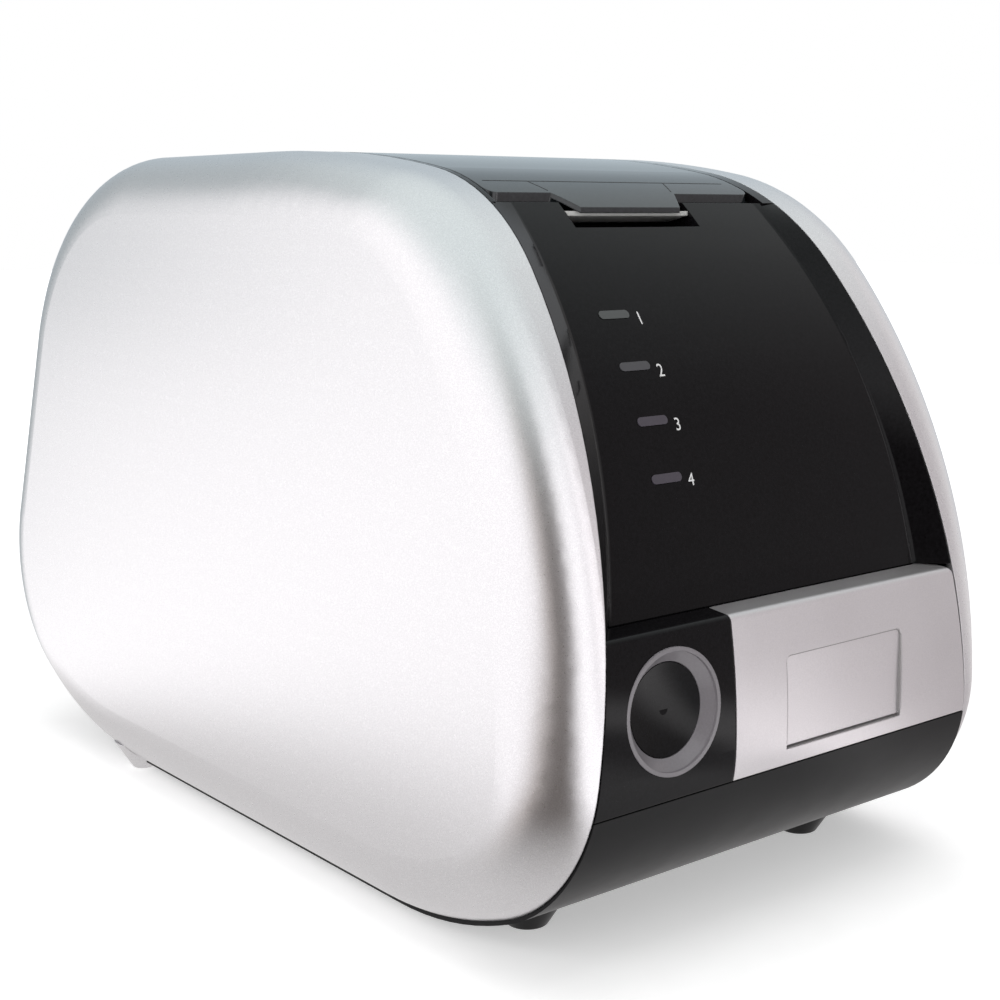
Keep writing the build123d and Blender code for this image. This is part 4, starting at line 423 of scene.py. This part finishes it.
def board_finish():
    """Green circuit board with tracks and solder mask."""
    material, tree, shader = node_tree("circuit_board")
    turned = tree.nodes.new("ShaderNodeMapping")
    turned.inputs["Rotation"].default_value = (0, math.radians(90), 0)
    tree.links.new(place_coordinates(tree), turned.inputs["Vector"])
    tracks = tree.nodes.new("ShaderNodeTexBrick")
    tracks.inputs["Scale"].default_value = 160.0
    tracks.inputs["Mortar Size"].default_value = 0.04
    tracks.inputs["Color1"].default_value = (*BOARD_TONES[0], 1)
    tracks.inputs["Color2"].default_value = (*BOARD_TONES[1], 1)
    tracks.inputs["Mortar"].default_value = (*TRACK_TONE, 1)
    tree.links.new(turned.outputs["Vector"], tracks.inputs["Vector"])
    tree.links.new(tracks.outputs["Color"], shader.inputs["Base Color"])
    rough = spread(tree, noise(tree, scale=400.0), low=0.28, high=0.42)
    tree.links.new(rough, shader.inputs["Roughness"])
    rounded_bump(tree, shader, tracks.outputs["Fac"], strength=0.2, distance=0.05 * MM, edge=0.2 * MM)
    return material


def mirror_finish():
    """Polished mirror facets."""
    material, tree, shader = node_tree("mirror_facets")
    haze = noise(tree, scale=300.0)
    tree.links.new(ramp(tree, haze, *MIRROR_TONES), shader.inputs["Base Color"])
    tree.links.new(spread(tree, haze, low=0.02, high=0.06), shader.inputs["Roughness"])
    shader.inputs["Metallic"].default_value = 1.0
    return material


def build_finishes():
    """The finish of each material slot."""
    made = {slot: plain_finish(*values) for slot, values in PLAIN_FINISHES.items()}
    made.update({slot: brushed_finish(*values) for slot, values in BRUSHED_FINISHES.items()})
    made["pearl"] = pearl_finish()
    made["gloss_black"] = gloss_finish("gloss_black", PANEL_TONES, edge=0.3 * MM)
    made["satin_black"] = plain_finish(*SATIN_BLACK, specular=DARK_SPECULAR)
    made["smoked"] = smoked_finish()
    made["light_pipe"] = lamp_finish()
    made["board"] = board_finish()
    made["mirror"] = mirror_finish()
    made["clear"] = clear_finish()
    return made


def dress_nodes():
    """Each CAD node in the finish of its slot; the power button's cap has a gloss of its own."""
    for part in frame["record"]["subparts"]:
        held = nodes[part["node"]]
        held.data.materials.clear()
        held.data.materials.append(finishes[part["material_slot"]])
    button_finish = gloss_finish("button_black", BUTTON_TONES, edge=0.01 * MM)
    nodes["power_button"].data.materials[0] = button_finish


# Helpers for new pieces


def added_piece(name, mesh, finish, body):
    """A new piece that moves with a body."""
    mesh.materials.append(finish)
    piece = bpy.data.objects.new(name, mesh)
    bpy.context.scene.collection.objects.link(piece)
    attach(piece, body)


def node_faces(node):
    """The faces of a node, ready for rays."""
    return BVHTree.FromObject(nodes[node], bpy.context.evaluated_depsgraph_get())


def front_point(faces, x, z):
    """Where a ray straight from the front meets the faces."""
    start = Vector((x, cad_box[0][1] - RAY_START, z))
    return faces.ray_cast(start, Vector((0, 1, 0)))[0]


def flat_faces(node):
    """Flat faces of each solid of a node: middle, direction and area, the widest first."""
    whole = bmesh.new()
    whole.from_mesh(nodes[node].data)
    bmesh.ops.remove_doubles(whole, verts=whole.verts, dist=WELD_DISTANCE)
    left = set(whole.faces)
    solids = []
    while left:
        reach = [left.pop()]
        planes = {}
        while reach:
            face = reach.pop()
            middle = face.calc_center_median()
            turn = (round(axis, 2) for axis in face.normal)
            key = (*turn, round(face.normal.dot(middle) / PLANE_STEP))
            area = face.calc_area()
            weight, direction, total = planes.get(key, (Vector(), face.normal.copy(), 0.0))
            planes[key] = (weight + middle * area, direction, total + area)
            for other in {near for edge in face.edges for near in edge.link_faces} & left:
                left.remove(other)
                reach.append(other)
        ranked = sorted(planes.values(), key=lambda plane: -plane[2])
        solids.append([(weight / total, direction, total) for weight, direction, total in ranked])
    whole.free()
    return solids


def add_relief(shape, polygons, middle, across, up):
    """Flat polygons laid on a plane and raised a little into a closed plate."""
    corner_of = {}
    faces = []
    for polygon in polygons:
        corners = []
        for point in polygon:
            key = tuple(round(length / WELD_DISTANCE) for length in point)
            if key not in corner_of:
                corner_of[key] = shape.verts.new(middle + across * point[0] + up * point[1])
            corners.append(corner_of[key])
        faces.append(shape.faces.new(corners))
    raised = bmesh.ops.extrude_face_region(shape, geom=faces)["geom"]
    moved = [item for item in raised if isinstance(item, bmesh.types.BMVert)]
    bmesh.ops.translate(shape, verts=moved, vec=across.cross(up).normalized() * RELIEF)


def finished_mesh(shape, name):
    """A mesh of triangles from a bmesh, which is freed."""
    bmesh.ops.recalc_face_normals(shape, faces=shape.faces)
    bmesh.ops.triangulate(shape, faces=shape.faces)
    mesh = bpy.data.meshes.new(name)
    shape.to_mesh(mesh)
    shape.free()
    return mesh


# Numerals


def lamp_middles():
    """Heights of the lamp bars, top first."""
    heights = sorted(vertex.co.z for vertex in nodes["status_light_pipes"].data.vertices)
    groups = [[heights[0]]]
    for height in heights[1:]:
        if height - groups[-1][-1] > LAMP_SPACING:
            groups.append([])
        groups[-1].append(height)
    return [(group[0] + group[-1]) / 2 for group in reversed(groups)]


def numeral_mesh(text):
    """A flat numeral as a mesh, its lower left corner at the origin."""
    curve = bpy.data.curves.new("numeral_curve", "FONT")
    curve.body = text
    curve.size = NUMERAL_HEIGHT / CAPITAL_SHARE
    curve.extrude = NUMERAL_THICK / 2
    flat = bpy.data.objects.new("numeral_flat", curve)
    bpy.context.scene.collection.objects.link(flat)
    bpy.context.view_layer.update()
    mesh = bpy.data.meshes.new_from_object(flat.evaluated_get(bpy.context.evaluated_depsgraph_get()))
    bpy.data.objects.remove(flat)
    return mesh


def build_numerals():
    """Plain numerals in place of the photograph's words, one beside each lamp."""
    faces = node_faces("front_cover")
    finish = plain_finish(*WHITE_PRINT, edge=PRINT_EDGE)
    for step, middle in enumerate(lamp_middles()):
        mesh = numeral_mesh(str(step + 1))
        for vertex in mesh.vertices:
            across, up, out = vertex.co
            x = NUMERAL_LEFT + across
            z = middle - NUMERAL_HEIGHT / 2 + up
            vertex.co = (x, front_point(faces, x, z).y - NUMERAL_LIFT - out, z)
        added_piece(f"numeral_{step + 1}", mesh, finish, "housing")


# Painted shade of each screw's cross recess


def cross_polygon(radius):
    """Outline of a cross recess on a screw head of a radius."""
    arm, half = radius * RECESS_ARM_SHARE, radius * RECESS_HALF_SHARE
    outline = []
    for quarter in range(4):
        turn = Matrix.Rotation(math.radians(90 * quarter), 2)
        outline += [tuple(turn @ Vector(point)) for point in ((arm, -half), (arm, half), (half, half))]
    return outline


def build_recess_shade(node):
    """Dark crosses on the heads of a node's screws: painted shade standing for each cross recess."""
    shape = bmesh.new()
    for planes in flat_faces(node):
        middle, direction, area = planes[0]
        across = direction.orthogonal().normalized()
        up = direction.cross(across)
        add_relief(shape, [cross_polygon(math.sqrt(area / math.pi))], middle, across, up)
    mesh = finished_mesh(shape, f"{node}_recess_shade_mesh")
    # The crosses are black: painted shade of the recess in each screw head
    added_piece(f"{node}_recess_shade", mesh, finishes["rubber"], "housing")


# Switch marks


def ring_polygons(outer, inner):
    """A flat ring as quads."""
    spokes = [math.tau * step / MARK_CORNERS for step in range(MARK_CORNERS)]
    rims = [(math.cos(angle), math.sin(angle)) for angle in spokes]
    quads = []
    for first, second in zip(rims, rims[1:] + rims[:1]):
        corners = ((first, inner), (first, outer), (second, outer), (second, inner))
        quads.append([(rim[0] * radius, rim[1] * radius) for rim, radius in corners])
    return quads


def build_switch_marks():
    """On and off marks on the two faces of the rocker."""
    backward = [plane for plane in flat_faces("power_rocker")[0] if plane[1].y > abs(plane[1].z)]
    pair = sorted(backward[:2], key=lambda plane: plane[0].z)
    half, wide = MARK_HEIGHT / 2, MARK_HALF_WIDTH
    bar = [(-wide, -half), (wide, -half), (wide, half), (-wide, half)]
    marks = ([bar], ring_polygons(half, half - 2 * wide))
    shape = bmesh.new()
    for (middle, direction, _), polygons in zip(pair, marks):
        across = Vector((-1, 0, 0))
        add_relief(shape, polygons, middle, across, direction.cross(across))
    mesh = finished_mesh(shape, "switch_mark_mesh")
    added_piece("switch_marks", mesh, finishes["guide_white"], "rocker")


# Crease of the top cover


def add_strip(shape, start, end, on_cover):
    """A thin closed strip along a line seen from above, laid on the cover."""
    side = (end - start).orthogonal().normalized() * CREASE_HALF_WIDTH
    rows = []
    for step in range(CREASE_STEPS + 1):
        point = start.lerp(end, step / CREASE_STEPS)
        pair = []
        for edge in (point - side, point + side):
            place, normal = on_cover(*edge)
            pair.append((shape.verts.new(place + normal * RELIEF), shape.verts.new(place)))
        rows.append(pair)
    for first, second in zip(rows, rows[1:]):
        (a_top, a_low), (b_top, b_low) = first
        (c_top, c_low), (d_top, d_low) = second
        shape.faces.new((a_top, b_top, d_top, c_top))
        shape.faces.new((a_low, c_low, d_low, b_low))
        shape.faces.new((a_top, c_top, c_low, a_low))
        shape.faces.new((b_top, b_low, d_low, d_top))
    for (a_top, a_low), (b_top, b_low) in (rows[0], rows[-1]):
        shape.faces.new((a_top, a_low, b_low, b_top))


def build_crease():
    """A fine crease across the top cover, with a short one from each shoulder of its tongue."""
    faces = node_faces("top_cover")
    low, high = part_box("top_cover")

    def on_cover(x, y):
        hit = faces.ray_cast(Vector((x, y, high[2] + RAY_START)), Vector((0, 0, -1)))
        return hit[0], hit[1]

    crease_y = low[1] + CREASE_BEHIND
    shoulder_y = low[1] + SHOULDER_BEHIND
    lines = (
        ((low[0] + CREASE_LEFT_GAP, crease_y), (high[0] - CREASE_RIGHT_GAP, crease_y)),
        ((TONGUE_LEFT, shoulder_y), (TONGUE_LEFT - SHOULDER_SPREAD, crease_y)),
        ((TONGUE_RIGHT, shoulder_y), (TONGUE_RIGHT + SHOULDER_SPREAD, crease_y)),
    )
    shape = bmesh.new()
    for start, end in lines:
        add_strip(shape, Vector(start), Vector(end), on_cover)
    mesh = finished_mesh(shape, "cover_crease_mesh")
    added_piece("cover_crease", mesh, finishes["rubber"], "lid")


# Painted shade round the label recess


def label_outline(inset):
    """Points round the label recess, moved inward by an inset."""
    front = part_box("output_drawer")
    left, right = LABEL_LEFT + inset, LABEL_RIGHT - inset
    low, high = front[0][2] + LABEL_ABOVE + inset, front[1][2] - LABEL_BELOW - inset
    radius = LABEL_CORNER - inset
    centres = (
        (right - radius, high - radius),
        (left + radius, high - radius),
        (left + radius, low + radius),
        (right - radius, low + radius),
    )
    points = []
    for quarter, (x, z) in enumerate(centres):
        for step in range(LABEL_CORNER_STEPS + 1):
            angle = math.radians(90) * (quarter + step / LABEL_CORNER_STEPS)
            points.append(Vector((x + radius * math.cos(angle), z + radius * math.sin(angle))))
    outline = []
    for start, end in zip(points, points[1:] + points[:1]):
        pieces = LABEL_SIDE_STEPS if (end - start).length > LABEL_CORNER else 1
        outline += [start.lerp(end, piece / pieces) for piece in range(pieces)]
    return outline


def build_label_recess_shade():
    """A fine grey line of painted shade round the label recess, laid on the silver front."""
    faces = node_faces("output_drawer")
    shape = bmesh.new()
    rows = []
    for edges in zip(label_outline(-LABEL_SHADE_WIDTH / 2), label_outline(LABEL_SHADE_WIDTH / 2)):
        row = []
        for point in edges:
            for lift in (RELIEF, 0):
                row.append(shape.verts.new(front_point(faces, *point) - Vector((0, lift, 0))))
        rows.append(row)
    # Corners of a row: outer raised, outer low, inner raised and inner low
    for first, second in zip(rows, rows[1:] + rows[:1]):
        for one, two in ((0, 2), (3, 1), (1, 0), (2, 3)):
            shape.faces.new((first[one], first[two], second[two], second[one]))
    # The line's grey is painted shade along the recess edge
    finish = plain_finish(*RECESS_EDGE_SHADE_GREY, edge=PRINT_EDGE)
    added_piece("label_recess_shade", finished_mesh(shape, "label_recess_shade_mesh"), finish, "drawer")


# Components on the main board


def add_chip(shape, place, width):
    """A square chip with slightly rounded edges."""
    size = Matrix.Diagonal((CHIP_TALL, width, width, 1))
    middle = Matrix.Translation(place + Vector((CHIP_TALL / 2, 0, 0)))
    made = bmesh.ops.create_cube(shape, matrix=middle @ size)["verts"]
    edges = list({edge for vertex in made for edge in vertex.link_edges})
    bmesh.ops.bevel(shape, geom=edges, offset=COMPONENT_EDGE, segments=EDGE_STEPS, affect="EDGES")


def add_can(shape, place):
    """A capacitor can with rounded rims, standing out from the board."""
    middle = Matrix.Translation(place + Vector((CAN_TALL / 2, 0, 0)))
    made = bmesh.ops.create_cone(
        shape,
        cap_ends=True,
        segments=CAN_CORNERS,
        radius1=CAN_RADIUS,
        radius2=CAN_RADIUS,
        depth=CAN_TALL,
        matrix=middle @ Matrix.Rotation(math.radians(90), 4, "Y"),
    )["verts"]
    edges = {edge for vertex in made for edge in vertex.link_edges}
    rims = [edge for edge in edges if any(len(face.verts) > 4 for face in edge.link_faces)]
    bmesh.ops.bevel(shape, geom=rims, offset=COMPONENT_EDGE, segments=EDGE_STEPS, affect="EDGES")


def build_components():
    """Chips and capacitors on the outer face of the main board."""
    low, high = (Vector(corner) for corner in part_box("main_board"))

    def spot(along, up):
        return Vector((high.x, low.y + (high.y - low.y) * along, low.z + (high.z - low.z) * up))

    chips = bmesh.new()
    for along, up, width in CHIP_SPOTS:
        add_chip(chips, spot(along, up), width)
    cans = bmesh.new()
    for along, up in CAN_SPOTS:
        add_can(cans, spot(along, up))
    chip_mesh = finished_mesh(chips, "board_chip_mesh")
    can_mesh = finished_mesh(cans, "board_can_mesh")
    added_piece("board_chips", chip_mesh, finishes["satin_black"], "housing")
    added_piece("board_cans", can_mesh, finishes["alu"], "housing")


# Studio


def ring_tone(tree, vector, turned=0.0):
    """The ring's tone in a direction, and that direction's height; turned is a share of a turn."""
    split = tree.nodes.new("ShaderNodeSeparateXYZ")
    tree.links.new(vector, split.inputs["Vector"])
    ahead = tree.nodes.new("ShaderNodeMath")
    ahead.operation = "MULTIPLY"
    ahead.inputs[1].default_value = -1.0
    tree.links.new(split.outputs["Y"], ahead.inputs[0])
    turn = arithmetic(tree, "ARCTAN2", split.outputs["X"], ahead.outputs["Value"])
    place = tree.nodes.new("ShaderNodeMapRange")
    place.inputs["From Min"].default_value = -math.pi
    place.inputs["From Max"].default_value = math.pi
    place.inputs["To Min"].default_value = turned
    place.inputs["To Max"].default_value = 1 + turned
    tree.links.new(turn, place.inputs["Value"])
    tones = tree.nodes.new("ShaderNodeValToRGB")
    stops = tones.color_ramp.elements
    for position, *tone in RING_TONES[1:-1]:
        stops.new(position).color = (*tone, 1)
    stops[0].color = (*RING_TONES[0][1:], 1)
    stops[-1].color = (*RING_TONES[-1][1:], 1)
    tree.links.new(place.outputs["Result"], tones.inputs["Fac"])
    return tones.outputs["Color"], split.outputs["Z"]


def floor_finish():
    """Pale paper that keeps the object's shadow and turns plain white towards the backdrop."""
    material, tree, shader = node_tree("floor_paper")
    colour = ramp(tree, noise(tree, scale=60.0), *FLOOR_TONES)
    tree.links.new(colour, shader.inputs["Base Color"])
    shader.inputs["Roughness"].default_value = 0.8
    shader.inputs["Emission Color"].default_value = (1, 1, 1, 1)
    place = place_coordinates(tree)
    distance = tree.nodes.new("ShaderNodeVectorMath")
    distance.operation = "LENGTH"
    tree.links.new(place, distance.inputs[0])
    path = tree.nodes.new("ShaderNodeLightPath")
    fade = between(tree, distance.outputs["Value"], FLOOR_NEAR, FLOOR_FAR, first=FLOOR_GLOW)
    glow = arithmetic(tree, "MULTIPLY", path.outputs["Is Camera Ray"], fade)
    tree.links.new(glow, shader.inputs["Emission Strength"])
    # Reflections see a painted contact shadow on the floor near the object, fading into the ring further
    # out
    past_painted_shadow = between(tree, distance.outputs["Value"], PAINTED_SHADOW_NEAR, PAINTED_SHADOW_FAR)
    tone, _ = ring_tone(tree, place, FLOOR_TURN)
    ring = tree.nodes.new("ShaderNodeEmission")
    ring.inputs["Strength"].default_value = RING_GAIN
    tree.links.new(colour_mix(tree, past_painted_shadow, (*PAINTED_CONTACT_SHADOW, 1), tone), ring.inputs["Color"])
    surface = glossy_switch(tree, path, shader.outputs["BSDF"], ring.outputs["Emission"])
    tree.links.new(surface, tree.nodes["Material Output"].inputs["Surface"])
    return material


def build_floor():
    """A level floor under the object."""
    half = FLOOR_HALF
    corners = [(-half, -half, 0), (half, -half, 0), (half, half, 0), (-half, half, 0)]
    mesh = bpy.data.meshes.new("floor_mesh")
    mesh.from_pydata(corners, [], [(0, 1, 2, 3)])
    mesh.materials.append(floor_finish())
    floor = bpy.data.objects.new("floor", mesh)
    bpy.context.scene.collection.objects.link(floor)


def build_world():
    """White to the camera and through clear pieces, the ring to reflections, an even grey to the rest."""
    world = bpy.data.worlds.new("studio")
    bpy.context.scene.world = world
    world.use_nodes = True
    tree = world.node_tree
    path = tree.nodes.new("ShaderNodeLightPath")
    even = tree.nodes["Background"]
    even.inputs["Color"].default_value = (1, 1, 1, 1)
    seen = arithmetic(tree, "MAXIMUM", path.outputs["Is Camera Ray"], path.outputs["Is Transmission Ray"])
    tree.links.new(spread(tree, seen, low=WORLD_LEVEL, high=1.0), even.inputs["Strength"])
    tone, height = ring_tone(tree, tree.nodes.new("ShaderNodeTexCoord").outputs["Generated"])
    overhead = between(tree, height, ZENITH_LOW, ZENITH_HIGH)
    ring = tree.nodes.new("ShaderNodeBackground")
    ring.inputs["Strength"].default_value = RING_GAIN
    tree.links.new(colour_mix(tree, overhead, tone, (*ZENITH_TONE, 1)), ring.inputs["Color"])
    surface = glossy_switch(tree, path, even.outputs["Background"], ring.outputs["Background"])
    tree.links.new(surface, tree.nodes["World Output"].inputs["Surface"])


def soft_light(name, place, aim, width, height, power):
    """A rectangular soft light that faces a point and shows in no reflection."""
    lamp = bpy.data.lights.new(name, "AREA")
    lamp.shape = "RECTANGLE"
    lamp.size = width
    lamp.size_y = height
    lamp.energy = power
    holder = bpy.data.objects.new(name, lamp)
    holder.location = place
    holder.rotation_euler = (Vector(aim) - Vector(place)).to_track_quat("-Z", "Y").to_euler()
    holder.visible_glossy = False
    bpy.context.scene.collection.objects.link(holder)


def build_camera():
    """The camera at the photograph's place."""
    camera = bpy.data.cameras.new("camera")
    camera.sensor_width = SENSOR_WIDTH
    camera.lens = LENS_LENGTH
    holder = bpy.data.objects.new("camera", camera)
    back = CAMERA_RIGHT.cross(CAMERA_UP)
    turn = Matrix((CAMERA_RIGHT, CAMERA_UP, back)).transposed().to_4x4()
    holder.matrix_world = Matrix.Translation(CAMERA_PLACE) @ turn
    bpy.context.scene.collection.objects.link(holder)
    bpy.context.scene.camera = holder


finishes = build_finishes()
dress_nodes()

build_numerals()
for screws in ("fan_screws", "base_screws", "board_screws", "side_cover_screws"):
    build_recess_shade(screws)
build_switch_marks()
build_crease()
build_label_recess_shade()
build_components()

build_floor()
build_world()
soft_light("left_light", *LEFT_LIGHT)
soft_light("top_light", *TOP_LIGHT)
build_camera()
bpy.context.scene.view_settings.view_transform = "Standard"
